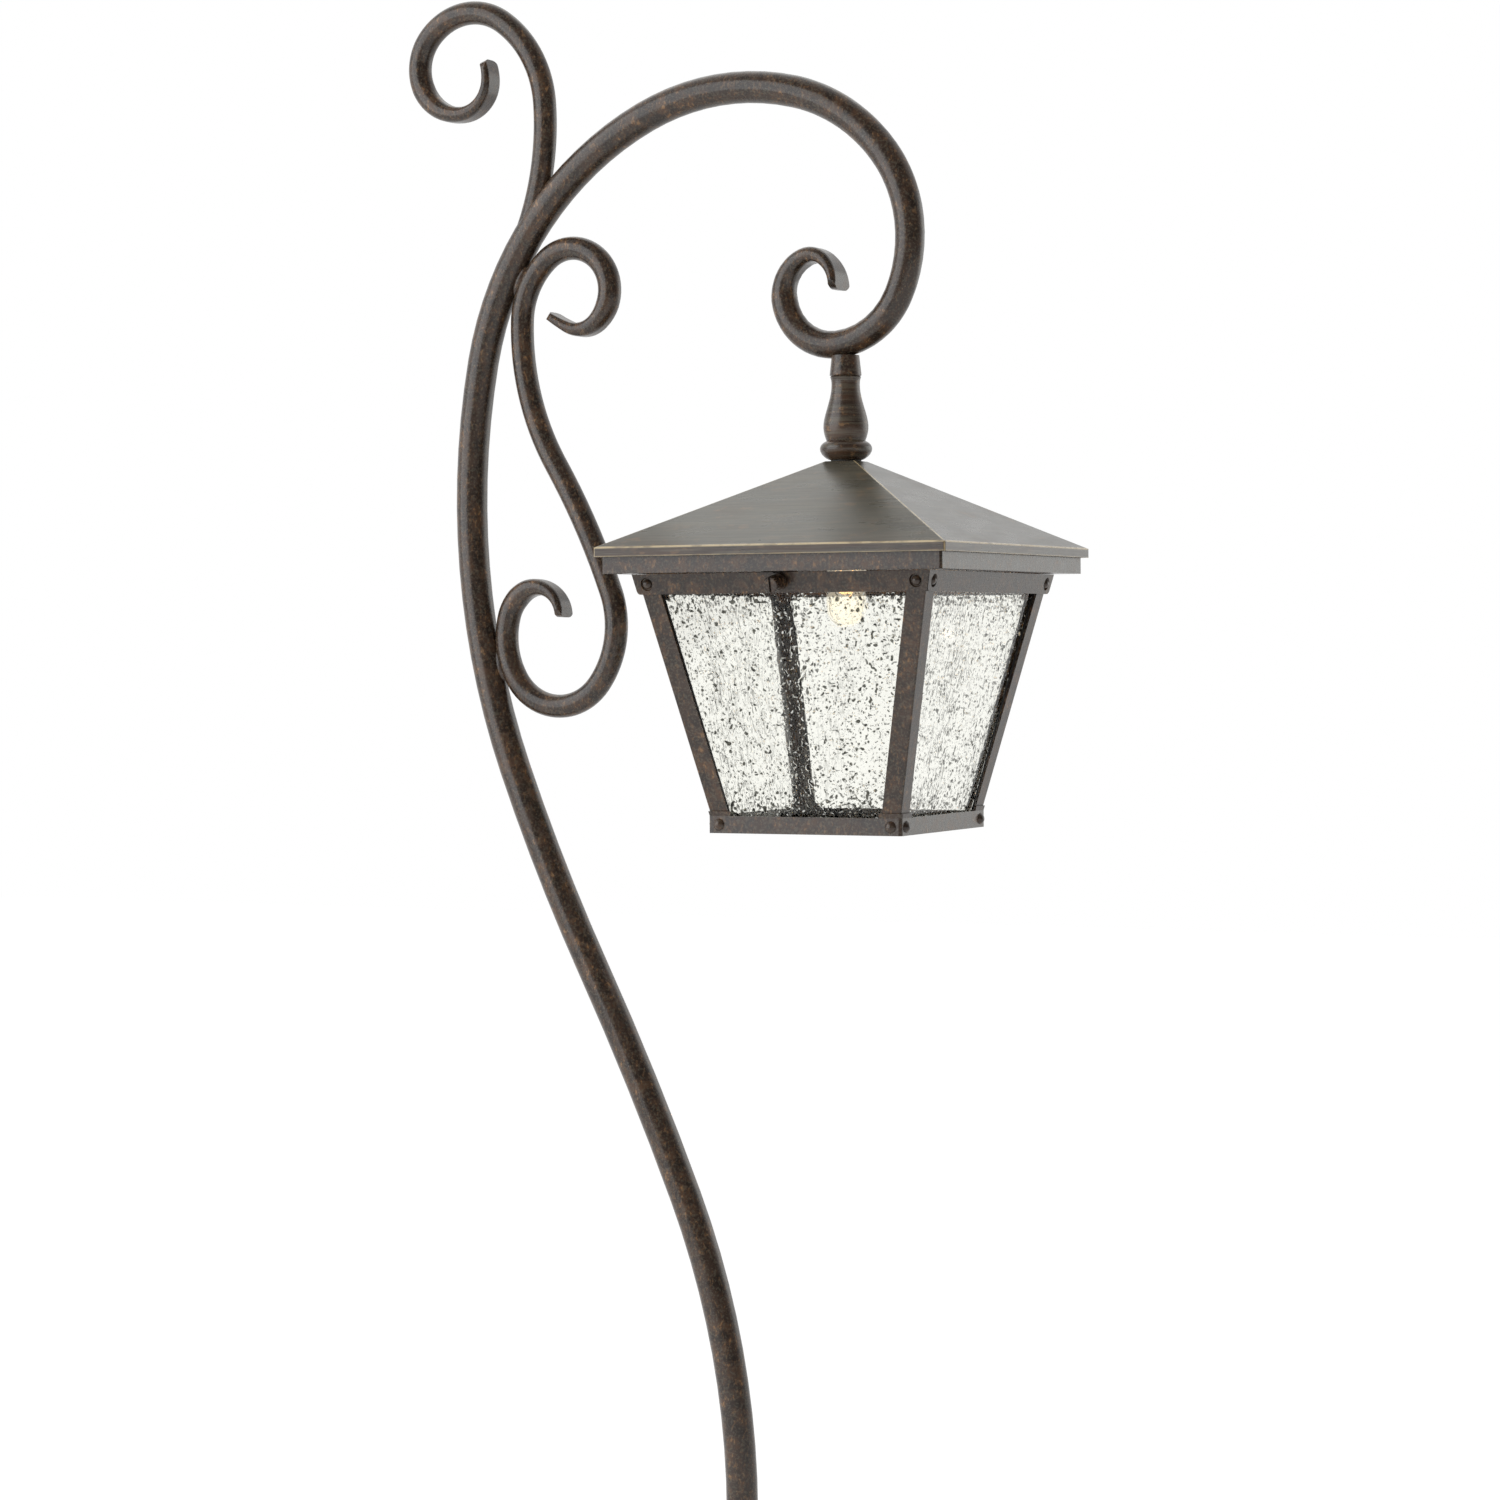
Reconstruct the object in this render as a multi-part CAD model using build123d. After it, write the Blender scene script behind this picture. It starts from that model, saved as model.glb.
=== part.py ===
"""Low-voltage garden path lantern that hangs from a scrolled crook on a ground spike.

Millimetres. The origin is where the stem's axis leaves the ground. Z is up, X points from the
stem towards the lantern in the plane of the crook, and Y is across that plane.
"""

import os
from math import atan, atan2, cos, degrees, pi, radians, sin, sqrt

from build123d import *

# ---- crook: one bent tube, then two scrolls of solid rod -------------------------------
TUBE_OD = 12.7
TUBE_BORE = 8.5
TUBE_END_OD = 10.5
STEM_STRAIGHT = 25.6
# (centreline radius, turn in degrees), left turns positive, from the stem up and over
CROOK_BENDS = [(329.5, 22.3), (1215, 4.7), (811, -6.3), (306, -32), (134.3, -54.4), (100.1, -39.1)]
CROOK_HOOK = [(70.5, -38.5), (55.7, -61.4), (31.7, -61.4), (21.5, -86.1)]
CROOK_TIP = [(15.7, -74.2), (8.8, -61.1), (14.1, -58.3)]
CROOK_TIP_WIDTH = 16.6
# the lantern hangs under this arc of the hook, this many degrees into it
HANG_ARC = 2
HANG_TURN = 54.68
ROD_OD = 9.5
ROD_TIP_WIDTH = 12
TIP_THICKNESS = 3.0
WELD_BEAD = 3.2
WELD_STRETCH = (2.2, 1, 0.8)
HAMMER_PLACE = 0.5
HAMMER_WIDTH = 1.12
HAMMER_THICKNESS = 0.61
EDGE_ROUND = 0.49
TIP_ROUND = 0.36

# places on the crook's centreline, as shares of its length
TOP_ROOT_PLACE = 0.6207
TOP_ROOT_ANGLE = 1.05
TOP_BENDS = [(115.6, 32.8), (46.4, 51.5), (25.9, 84.7), (19.8, 63.1)]
TOP_TIP = [(19.8, 69.8), (13.5, 82.1), (19.8, 26.1)]

S_UPPER_PLACE = 0.6136
S_LOWER_PLACE = 0.4206
S_UPPER_RADIUS = 33.7
S_LOWER_RADIUS = 23.2
S_UPPER_SWING = 108
S_LOWER_SWING = 300
S_LEAVE_ANGLE = -2.1
S_EASE_RADIUS = 39.5
S_EASE_END = -37.6
S_UPPER_WRAP = 47.3
S_UPPER_CURL = (17.6, -150)
S_UPPER_TIP = [(17.6, -27), (11.3, -71), (76.5, -7.5)]
S_LOWER_WRAP = 111.5
S_LOWER_CURL = [(33.1, -46.6), (17.2, -28)]
S_LOWER_TIP = [(17.2, -12.6), (11.9, -126.3)]

# ---- ground spike ------------------------------------------------------------------------
SPIKE_LENGTH = 215
SPIKE_BLADE = 2.8
SPIKE_WIDTH = 34
SPIKE_POINT = 5
SPIKE_SHOULDER = 20
SPIKE_CORE = 4.5
SPIKE_TIP = 6
WEB_SHEET = 2
WEB_SPACING = 30
WEB_SHARE = 0.88
HUB_OD = 36
HUB_WALL = 3
HUB_DEPTH = 38
HUB_FLOOR = 4
HUB_ROUND = 4
INLET_RISE = 2
CAP_PLUG = 8
CAP_FLANGE = 4
CAP_NECK_OD = 21
CAP_NECK = 13
CAP_FLOOR = 3
CAP_EDGE = 1
NECK_EDGE = 1.5
CAP_CLEARANCE = 0.1
SET_SCREW_OD = 4
SET_SCREW_KEY = 1.8
INLET_BORE = 6
GROMMET_OD = 10
GROMMET_LIP = 1.5
SEAL_SECTION = 2

# ---- hanger ------------------------------------------------------------------------------
BOSS_DROP = 13.15
BOSS_HEIGHT = 8.2
BOSS_TOP_OD = 10.9
BOSS_OD = 12.6
EDGE_BREAK = 0.4
NIPPLE_OD = 8
NIPPLE_BORE = 5
NIPPLE_GRIP = 6
BORE_CLEARANCE = 0.1
BALUSTER_HEIGHT = 25.5
BALUSTER_TOP_OD = 12.2
BALUSTER_NECK_OD = 11.2
BALUSTER_BELLY_OD = 17.5
BALUSTER_FOOT_OD = 15.3
RING_HEIGHT = 7.6
RING_OD = 20.3
GASKET = 0.5

# ---- roof --------------------------------------------------------------------------------
ROOF_TOP_HALF = 6.5
ROOF_HALF = 73.7
ROOF_RISE = 34.2
ROOF_SHEET = 1.0
ROOF_CORNER = 0.8
LIP_HEIGHT = 3.6
SKIRT_INSET = 2.4
SKIRT_SHEET = 1.0
SKIRT_DROP = 6.45
WASHER = 1.0
NUT_HEIGHT = 4.0
NUT_FLATS = 12
LOCKNUT_HEIGHT = 2.5
NIPPLE_SPARE = 1
CLAMP_MARGIN = 0.5

# ---- cage --------------------------------------------------------------------------------
CAGE_GAP = 0.3
BAND_HEIGHT = 7.85
BAND_SHEET = 1.4
BAND_CORNER = 2.5
MITRE_GAP = 0.15
GLASS_DROP = 86.2
FOOT_HEIGHT = 6.7
FOOT_SHEET = 0.7
FOOT_FLANGE = 8
FOOT_FLOOR = 1.0
EAR_HEIGHT = 1.8
EAR_WIDTH = 9.5
EAVE_OVERHANG = 14
CAGE_TAPER = 19.3
POST_SHORT = 0.4
POST_FLANGE = 8
POST_SHEET = 1.5
POST_BEND = 0.6
PANE = 3.0
PANE_FIT = 0.1
PANE_SIDE_GAP = 0.5
PANE_LAP = 1.0
CLIP_FIT = 0.1
CLIP_RISE = 4
CLIP_MARGIN = 0.4
CLIP_WIDTH = 4
CLIP_SHEET = 0.6
CLIP_HOOK = 3
RIVET_HEAD = 4.7
RIVET_RISE = 1.6
RIVET_SHANK = 2.2
UPPER_HEAD = 3.9
UPPER_DIMPLE = 5.2
DIMPLE_DEPTH = 0.8
RIVET_INSET = 3.9

# ---- thumb screws --------------------------------------------------------------------------
SCREW_OD = 3
SCREW_FIT = 0.05
SCREW_SLACK = 0.8
SCREW_DROP = 3.35
SLOT_CLEARANCE = 0.4
KNOB_OD = 6.2
KNOB_LENGTH = 4.6
KNOB_NECK_OD = 3.8
KNOB_NECK = 1.6
KNURLS = 16
KNOB_SLOT = 0.9
WASHER_OD = 7
WASHER_SHEET = 0.8
TAB_WIDTH = 14
TAB_SHEET = 1.5
TAB_NUT_FLATS = 5.5
TAB_NUT_HEIGHT = 2.4
TAB_CLEARANCE = 0.7
SHANK_SPARE = 1
KNOB_EDGE = 0.4

# ---- lamp ----------------------------------------------------------------------------------
STRAP_SHEET = 1.2
STRAP_WIDTH = 10
STRAP_LEG = 30
SOCKET_OD = 17
SOCKET_HEIGHT = 18
SOCKET_GAP = 9
SOCKET_FLAT = 1
SOCKET_EDGE = 2
LAMP_GAP = 0.5
STRAP_SCREW_OD = 2.4
STRAP_SCREW_HEAD = 4.6
STRAP_SCREW_RISE = 1.6
STRAP_SCREW_GRIP = 4
DRIVER_SLOT = 0.6
WEDGE_WIDTH = 9
WEDGE_THICKNESS = 2.6
WEDGE_DEPTH = 9
WEDGE_CLEARANCE = 0.35
CONTACT_SHEET = 0.4
BULB_OD = 15.5
BULB_LENGTH = 28
BULB_GLASS = 0.8
FILAMENT_POST = 0.7
FILAMENT_SPAN = 5
FILAMENT_OD = 0.9
WIRE_OD = 2.0
WIRE_GAP = 0.3
WIRE_BEND = 5
TERMINAL_LENGTH = 14
TERMINAL_HEIGHT = 9
TERMINAL_WIDTH = 11
TERMINAL_EDGE = 1
TERMINAL_SCREW_RISE = 1.2

# widths that follow from the roof's
SKIRT_HALF = ROOF_HALF - SKIRT_INSET
POST_TOP_HALF = ROOF_HALF - EAVE_OVERHANG
POST_FOOT_HALF = POST_TOP_HALF - CAGE_TAPER


TO_TOP = (Align.CENTER, Align.CENTER, Align.MAX)
TO_BASE = (Align.CENTER, Align.CENTER, Align.MIN)


def largest(shape):
    """The biggest solid of a shape, without the crumbs that a cut can leave."""
    return shape.solids().sort_by(SortBy.VOLUME)[-1]


# ---- bent rods -----------------------------------------------------------------------------
def bent(start, heading, bends):
    """Tangent arcs in the crook's plane, and the point and heading where they end."""
    arcs = []
    direction = (cos(radians(heading)), sin(radians(heading)))
    for radius, turn in bends:
        arc = JernArc(start, direction, radius, turn)
        arcs.append(arc)
        start = arc @ 1
        direction = arc % 1
    return arcs, start, degrees(atan2(direction.Y, direction.X))


def upright(edges):
    """The same edges stood up in the crook's plane."""
    return Plane.XZ * Wire(edges)


def along(wire, place, section):
    """A section square to a wire at a share of its length, its X axis across the crook's plane."""
    return Plane(origin=wire @ place, x_dir=(0, 1, 0), z_dir=wire % place) * section


def rod(edges, diameter, end_diameter=None):
    """A round rod along edges, drawn down to end_diameter at its far end if that is given."""
    wire = upright(edges)
    first = along(wire, 0, Circle(diameter / 2))
    if end_diameter is None:
        return sweep(first, path=wire)
    return sweep([first, along(wire, 1, Circle(end_diameter / 2))], path=wire, multisection=True)


def ribbon(width, thickness):
    """Section of a flattened rod: full rounds on its two edges."""
    return RectangleRounded(width, thickness, EDGE_ROUND * thickness)


def tip_cutter(wire, width):
    """What is dressed off a ribbon's two end corners."""
    corner = TIP_ROUND * width
    kept = Box(width, width, 3 * corner, align=TO_TOP)
    kept = fillet(kept.edges().filter_by(Axis.Y).group_by(Axis.Z)[-1], corner)
    return along(wire, 1, Box(2 * width, width, 2 * corner) - kept)


def hammered(start, heading, bends, diameter, width):
    """The last stretch of a rod, beaten out to a flat ribbon with rounded end corners."""
    arcs, _, _ = bent(start, heading, bends)
    wire = upright(arcs)
    sections = [
        along(wire, 0, ribbon(diameter, diameter)),
        along(wire, HAMMER_PLACE, ribbon(HAMMER_WIDTH * diameter, HAMMER_THICKNESS * diameter)),
        along(wire, 1, ribbon(width, TIP_THICKNESS)),
    ]
    return sweep(sections, path=wire, multisection=True) - tip_cutter(wire, width)


RUN_ARCS, RUN_END, RUN_HEADING = bent((0, STEM_STRAIGHT), 90, CROOK_BENDS)
HOOK_ARCS, HOOK_END, HOOK_HEADING = bent(RUN_END, RUN_HEADING, CROOK_HOOK)
CROOK_LINE = Wire(RUN_ARCS + HOOK_ARCS)


def crook_at(place):
    """Point and heading of the crook's centreline at a share of its length."""
    length = place * CROOK_LINE.length
    point = CROOK_LINE.position_at(length, position_mode=PositionMode.LENGTH)
    ahead = CROOK_LINE.tangent_at(length, position_mode=PositionMode.LENGTH)
    return point, degrees(atan2(ahead.Y, ahead.X))


HANG_RADIUS = CROOK_HOOK[HANG_ARC][0]
HANG = HOOK_ARCS[HANG_ARC] @ (HANG_TURN / -CROOK_HOOK[HANG_ARC][1])
AXIS_X = HANG.X

# heights down the lantern, each from the one above
Z_BOSS = HANG.Y - BOSS_DROP
Z_RING = Z_BOSS - BALUSTER_HEIGHT
Z_ROOF = Z_RING - RING_HEIGHT - GASKET
Z_EAVE = Z_ROOF - ROOF_RISE
Z_LIP = Z_EAVE - LIP_HEIGHT
Z_SKIRT = Z_LIP - SKIRT_DROP
Z_BAND_TOP = Z_SKIRT - CAGE_GAP
Z_BAND = Z_BAND_TOP - BAND_HEIGHT
Z_FOOT_TOP = Z_BAND - GLASS_DROP
Z_FOOT = Z_FOOT_TOP - FOOT_HEIGHT
CAGE_SLOPE = (POST_TOP_HALF - POST_FOOT_HALF) / GLASS_DROP
CAGE_TILT = degrees(atan(CAGE_SLOPE))
Z_SCREW = Z_BAND_TOP - SCREW_DROP
STEM_FOOT = CAP_FLOOR - CAP_PLUG


def post_half(z):
    """Half the width across the posts' outer faces at a height."""
    return POST_FOOT_HALF + CAGE_SLOPE * (z - Z_FOOT_TOP)


def tube_at(place):
    """Tube's outer diameter at a share of the crook's length: full until the hook, then drawn down."""
    drawn = sum(arc.length for arc in HOOK_ARCS) / CROOK_LINE.length
    share = max(0, (place + drawn - 1) / drawn)
    return TUBE_OD + (TUBE_END_OD - TUBE_OD) * share


# ---- crook and scrolls ---------------------------------------------------------------------
def crook_blank():
    """The crook before it is drilled: solid, drawn down round the hook, with a flattened tip."""
    stem = rod([Line((0, STEM_FOOT), (0, STEM_STRAIGHT))], TUBE_OD)
    run = rod(RUN_ARCS, TUBE_OD)
    hook = rod(HOOK_ARCS, TUBE_OD, TUBE_END_OD)
    tip = hammered(HOOK_END, HOOK_HEADING, CROOK_TIP, TUBE_END_OD, CROOK_TIP_WIDTH)
    return stem + run + hook + tip


def crook_bore():
    """The wire way: up the stem, round to the lantern, and down through the tube's wall."""
    last = (HANG_RADIUS, -HANG_TURN - degrees(NIPPLE_BORE / HANG_RADIUS))
    arcs, _, _ = bent((0, STEM_STRAIGHT), 90, CROOK_BENDS + CROOK_HOOK[:HANG_ARC] + [last])
    way = rod([Line((0, STEM_FOOT), (0, STEM_STRAIGHT))] + arcs, TUBE_BORE)
    drop = Cylinder(NIPPLE_BORE / 2, BOSS_DROP, align=TO_TOP)
    return way + Pos(AXIS_X, 0, HANG.Y) * drop


def crook_tube(blank):
    return blank - crook_bore()


def top_scroll(blank):
    """Grows out of the crook's back: its root is coped to the tube."""
    root, heading = crook_at(TOP_ROOT_PLACE)
    arcs, end, end_heading = bent(root, heading + TOP_ROOT_ANGLE, TOP_BENDS)
    body = rod(arcs, ROD_OD) + hammered(end, end_heading, TOP_TIP, ROD_OD, ROD_TIP_WIDTH)
    return largest(body - blank)


def crook_side(place):
    """Point of the crook's centreline and the direction square to it, into the bend."""
    point, heading = crook_at(place)
    return point, Vector(sin(radians(heading)), -cos(radians(heading)))


def s_centres():
    """Centres of the S's five main arcs: both loops touch the crook, and all are tangent."""
    loops = []
    for place, radius in ((S_UPPER_PLACE, S_UPPER_RADIUS), (S_LOWER_PLACE, S_LOWER_RADIUS)):
        point, inward = crook_side(place)
        loops.append(point + inward * ((tube_at(place) + ROD_OD) / 2 + radius))
    upper, lower = loops
    ease = lower + ahead_at(S_EASE_END) * (S_LOWER_RADIUS - S_EASE_RADIUS)
    upper_swing = upper + ahead_at(S_LEAVE_ANGLE) * (S_UPPER_SWING - S_UPPER_RADIUS)
    across = ease - upper_swing
    reach = S_UPPER_SWING + S_LOWER_SWING
    rest = S_LOWER_SWING - S_EASE_RADIUS
    share = (across.length**2 + reach**2 - rest**2) / (2 * across.length)
    ahead = across.normalized()
    side = Vector(ahead.Y, -ahead.X)
    lower_swing = upper_swing + ahead * share + side * sqrt(reach**2 - share**2)
    return upper, upper_swing, lower_swing, ease


def ahead_at(angle):
    return Vector(cos(radians(angle)), sin(radians(angle)))


def bearing(start, end):
    way = end - start
    return degrees(atan2(way.Y, way.X))


def s_scroll(blank):
    """The S-shaped scroll in the crook's bend: both ends curled and flattened, coped to the tube."""
    upper, upper_swing, lower_swing, ease = s_centres()
    leave = bearing(upper_swing, upper)
    cross = bearing(upper_swing, lower_swing)
    arrive = bearing(lower_swing, ease)
    start = upper + ahead_at(leave) * S_UPPER_RADIUS
    down = [
        (S_UPPER_SWING, (cross - leave) % 360),
        (S_LOWER_SWING, -((cross + 180 - arrive) % 360)),
        (S_EASE_RADIUS, -((arrive - S_EASE_END) % 360)),
        (S_LOWER_RADIUS, -S_LOWER_WRAP),
    ]
    up = [(S_UPPER_RADIUS, -S_UPPER_WRAP), S_UPPER_CURL]
    down_arcs, low_end, low_heading = bent(start, leave + 90, down + S_LOWER_CURL)
    up_arcs, high_end, high_heading = bent(start, leave - 90, up)
    body = rod(down_arcs, ROD_OD) + rod(up_arcs, ROD_OD)
    body += hammered(low_end, low_heading, S_LOWER_TIP, ROD_OD, ROD_TIP_WIDTH)
    body += hammered(high_end, high_heading, S_UPPER_TIP, ROD_OD, ROD_TIP_WIDTH)
    return largest(body - blank)


def scroll_welds(blank, scroll):
    """A weld bead at each place where the S touches the crook."""
    beads = []
    for place in (S_UPPER_PLACE, S_LOWER_PLACE):
        point, inward = crook_side(place)
        touch = point + inward * (tube_at(place) / 2)
        blob = scale(Sphere(WELD_BEAD), WELD_STRETCH)
        bead = Pos(touch.X, 0, touch.Y) * Rot(0, -degrees(atan2(inward.X, -inward.Y)), 0) * blob
        beads.append(bead - blank - scroll)
    return beads


# ---- ground spike --------------------------------------------------------------------------
def blade_half(z):
    """Half the width of the spike's blades at a height below their shoulder."""
    shoulder = -HUB_DEPTH - SPIKE_SHOULDER
    share = (shoulder - z) / (SPIKE_LENGTH - SPIKE_TIP + shoulder)
    return SPIKE_WIDTH / 2 + (SPIKE_POINT - SPIKE_WIDTH) / 2 * share


def spike_blade():
    """One flat blade with a straight shoulder, a long taper and a point."""
    top = -HUB_DEPTH
    shoulder = top - SPIKE_SHOULDER
    tip = SPIKE_TIP - SPIKE_LENGTH
    half = [(SPIKE_WIDTH / 2, top), (SPIKE_WIDTH / 2, shoulder), (SPIKE_POINT / 2, tip)]
    other = [(-x, z) for x, z in reversed(half)]
    blade = make_face(Polyline(half + [(0, -SPIKE_LENGTH)] + other, close=True))
    return extrude(Plane.XZ * blade, SPIKE_BLADE / 2, both=True)


def ground_spike():
    """Moulded stake: four tapering blades under a hub cup that takes the cable from one side."""
    top = -HUB_DEPTH
    fin = spike_blade()
    depth = SPIKE_LENGTH - HUB_DEPTH - 2 * SPIKE_TIP
    core = Pos(0, 0, top) * Cone(SPIKE_POINT / 2, SPIKE_CORE, depth, align=TO_TOP)
    cup = Cylinder(HUB_OD / 2, HUB_DEPTH, align=TO_TOP)
    cup = fillet(cup.edges().sort_by(Axis.Z)[0], HUB_ROUND)
    room = Cylinder(HUB_OD / 2 - HUB_WALL, HUB_DEPTH - HUB_FLOOR, align=TO_TOP)
    body = fin + Rot(0, 0, 90) * fin + core + cup - room
    for level in range(1, 4):
        z = top - SPIKE_SHOULDER - level * WEB_SPACING
        body += Pos(0, 0, z) * Cylinder(blade_half(z) * WEB_SHARE, WEB_SHEET)
    inlet = Rot(0, 90, 0) * Cylinder(GROMMET_OD / 2, HUB_WALL * 4)
    return body - Pos(-HUB_OD / 2, 0, inlet_height()) * inlet


def inlet_height():
    return -HUB_DEPTH + HUB_FLOOR + GROMMET_OD / 2 + INLET_RISE


def cable_grommet():
    """Rubber bush in the hub's wall that the supply cable enters through."""
    outer = (GROMMET_OD - 2 * BORE_CLEARANCE) / 2
    face = HUB_OD / 2 - HUB_WALL / 2
    barrel = Cylinder(outer, HUB_WALL + 4 * GROMMET_LIP)
    lip = Cylinder(outer + GROMMET_LIP, HUB_WALL + 4 * GROMMET_LIP)
    place = Pos(-face, 0, inlet_height()) * Rot(0, 90, 0)
    wall = Cylinder(HUB_OD / 2, 3 * HUB_DEPTH) - Cylinder(HUB_OD / 2 - HUB_WALL, 3 * HUB_DEPTH)
    return place * barrel + (place * lip - wall) - place * Cylinder(INLET_BORE / 2, HUB_WALL * 5)


def hub_cap():
    """Turned lid of the hub: its plug closes the cup and its neck holds the stem."""
    plug = Cylinder(HUB_OD / 2 - HUB_WALL - CAP_CLEARANCE, CAP_PLUG, align=TO_TOP)
    flange = Cylinder(HUB_OD / 2, CAP_FLANGE, align=TO_BASE)
    flange = chamfer(flange.edges().sort_by(Axis.Z)[-1], CAP_EDGE)
    neck = Pos(0, 0, CAP_FLANGE) * Cylinder(CAP_NECK_OD / 2, CAP_NECK - CAP_FLANGE, align=TO_BASE)
    neck = fillet(neck.edges().sort_by(Axis.Z)[-1], NECK_EDGE)
    lid = plug + flange + neck
    lid -= Pos(0, 0, STEM_FOOT) * Cylinder(TUBE_OD / 2 + CAP_CLEARANCE, CAP_NECK * 3, align=TO_BASE)
    lid -= Cylinder(TUBE_BORE / 2, CAP_PLUG * 3)
    groove = Cylinder(HUB_OD, SEAL_SECTION) - Cylinder(seal_bore(), SEAL_SECTION)
    lid -= Pos(0, 0, -CAP_PLUG / 2) * groove
    for side in (0, 180):
        hole = Cylinder(SET_SCREW_OD / 2, CAP_NECK_OD, align=TO_BASE)
        lid -= Rot(0, 0, side) * Pos(0, 0, set_screw_height()) * Rot(90, 0, 0) * hole
    return lid


def set_screw_height():
    return (CAP_FLANGE + CAP_NECK) / 2


def stem_set_screws():
    """Two socket set screws in the hub cap's neck that hold the stem."""
    length = (CAP_NECK_OD - TUBE_OD) / 2
    screw = Cylinder(SET_SCREW_OD / 2, length, align=TO_BASE)
    screw = chamfer(screw.edges().sort_by(Axis.Z)[0], EDGE_BREAK)
    key = Pos(0, 0, length) * extrude(RegularPolygon(SET_SCREW_OD / 4, 6), -SET_SCREW_KEY)
    screw = Pos(0, 0, TUBE_OD / 2) * (screw - key)
    upright_at = Pos(0, 0, set_screw_height())
    return [Rot(0, 0, side) * upright_at * Rot(90, 0, 0) * screw for side in (0, 180)]


def seal_bore():
    return HUB_OD / 2 - HUB_WALL - SEAL_SECTION


def hub_seal():
    """Rubber ring in the plug's groove."""
    rim = HUB_OD / 2 - HUB_WALL
    ring = Cylinder(rim, SEAL_SECTION) - Cylinder(seal_bore(), SEAL_SECTION)
    ring = fillet(ring.edges().filter_by(GeomType.CIRCLE), SEAL_SECTION * 0.2)
    return Pos(0, 0, -CAP_PLUG / 2) * ring


def terminal_block():
    """Two-pole terminal in the hub, where the lantern's leads meet the supply cable."""
    foot = -HUB_DEPTH + HUB_FLOOR
    block = Pos(0, 0, foot) * Box(TERMINAL_LENGTH, TERMINAL_WIDTH, TERMINAL_HEIGHT, align=TO_BASE)
    block = fillet(block.edges().filter_by(Axis.Z), TERMINAL_EDGE)
    for pole in (-1, 1):
        y = pole * TERMINAL_WIDTH / 4
        way = Rot(0, 90, 0) * Cylinder(WIRE_OD * 0.6, TERMINAL_LENGTH)
        block -= Pos(0, y, foot + TERMINAL_HEIGHT / 3) * way
    return block


def terminal_screws():
    """A slotted screw over each pole of the terminal."""
    screws = []
    top = -HUB_DEPTH + HUB_FLOOR + TERMINAL_HEIGHT
    for pole in (-1, 1):
        head = Cylinder(TERMINAL_WIDTH / 5, TERMINAL_SCREW_RISE, align=TO_BASE)
        head -= Pos(0, 0, TERMINAL_SCREW_RISE) * Box(TERMINAL_WIDTH, DRIVER_SLOT, TERMINAL_SCREW_RISE)
        screws.append(Pos(-TERMINAL_LENGTH / 4, pole * TERMINAL_WIDTH / 4, top) * head)
    return screws


# ---- hanger --------------------------------------------------------------------------------
def turned(*edges):
    """A turned piece on the lantern's axis, from profile edges in radius and height."""
    face = Plane.XZ * make_face(Wire(list(edges)))
    return Pos(AXIS_X, 0, 0) * revolve(face, Axis.Z)


def hanger_boss(blank):
    """Tapered boss welded under the hook, threaded for the nipple."""
    bore = NIPPLE_BORE / 2
    grip = NIPPLE_OD / 2
    profile = Polyline(
        [
            (grip, Z_BOSS),
            (BOSS_OD / 2 - EDGE_BREAK, Z_BOSS),
            (BOSS_OD / 2, Z_BOSS + EDGE_BREAK),
            (BOSS_TOP_OD / 2, Z_BOSS + BOSS_HEIGHT),
            (bore, Z_BOSS + BOSS_HEIGHT),
            (bore, Z_BOSS + NIPPLE_GRIP),
            (grip, Z_BOSS + NIPPLE_GRIP),
        ],
        close=True,
    )
    return largest(turned(*profile.edges()) - blank)


def nipple_end():
    return Z_ROOF - ROOF_SHEET - WASHER - NUT_HEIGHT - STRAP_SHEET - LOCKNUT_HEIGHT - NIPPLE_SPARE


def hanger_nipple():
    """Hollow threaded rod that ties boss, baluster, ring and roof together and passes the leads."""
    return ring_piece(NIPPLE_OD / 2, NIPPLE_BORE / 2, nipple_end(), Z_BOSS + NIPPLE_GRIP - nipple_end())


def hanger_baluster():
    """Vase-shaped turning between the boss and the bead ring."""
    bore = NIPPLE_OD / 2 + BORE_CLEARANCE
    foot = Z_RING
    high = Z_BOSS
    tall = BALUSTER_HEIGHT
    brow = high - EDGE_BREAK
    outline = Spline(
        (BALUSTER_TOP_OD / 2, brow),
        (BALUSTER_NECK_OD / 2, high - tall * 0.14),
        (BALUSTER_BELLY_OD / 2, foot + tall * 0.29),
        (BALUSTER_FOOT_OD / 2, foot),
        tangents=((-0.5, -1), (-0.4, -1)),
    )
    return turned(
        Line((bore, foot), (BALUSTER_FOOT_OD / 2, foot)),
        outline,
        Line((BALUSTER_TOP_OD / 2, brow), (BALUSTER_TOP_OD / 2 - EDGE_BREAK, high)),
        Line((BALUSTER_TOP_OD / 2 - EDGE_BREAK, high), (bore, high)),
        Line((bore, high), (bore, foot)),
    )


def bead_ring():
    """Rounded collar that seats the baluster on the roof."""
    bore = NIPPLE_OD / 2 + BORE_CLEARANCE
    foot = Z_RING - RING_HEIGHT
    seat = ROOF_TOP_HALF - EDGE_BREAK
    shoulder = BALUSTER_FOOT_OD / 2
    bulge = (RING_OD / 2, foot + RING_HEIGHT * 0.47)
    return turned(
        Line((bore, foot), (seat, foot)),
        Spline((seat, foot), (seat + 1.6, foot + 0.7), bulge, (shoulder, Z_RING)),
        Line((shoulder, Z_RING), (bore, Z_RING)),
        Line((bore, Z_RING), (bore, foot)),
    )


def ring_piece(outer, bore, foot, height):
    piece = Cylinder(outer, height, align=TO_BASE) - Cylinder(bore, height, align=TO_BASE)
    return Pos(AXIS_X, 0, foot) * piece


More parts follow.
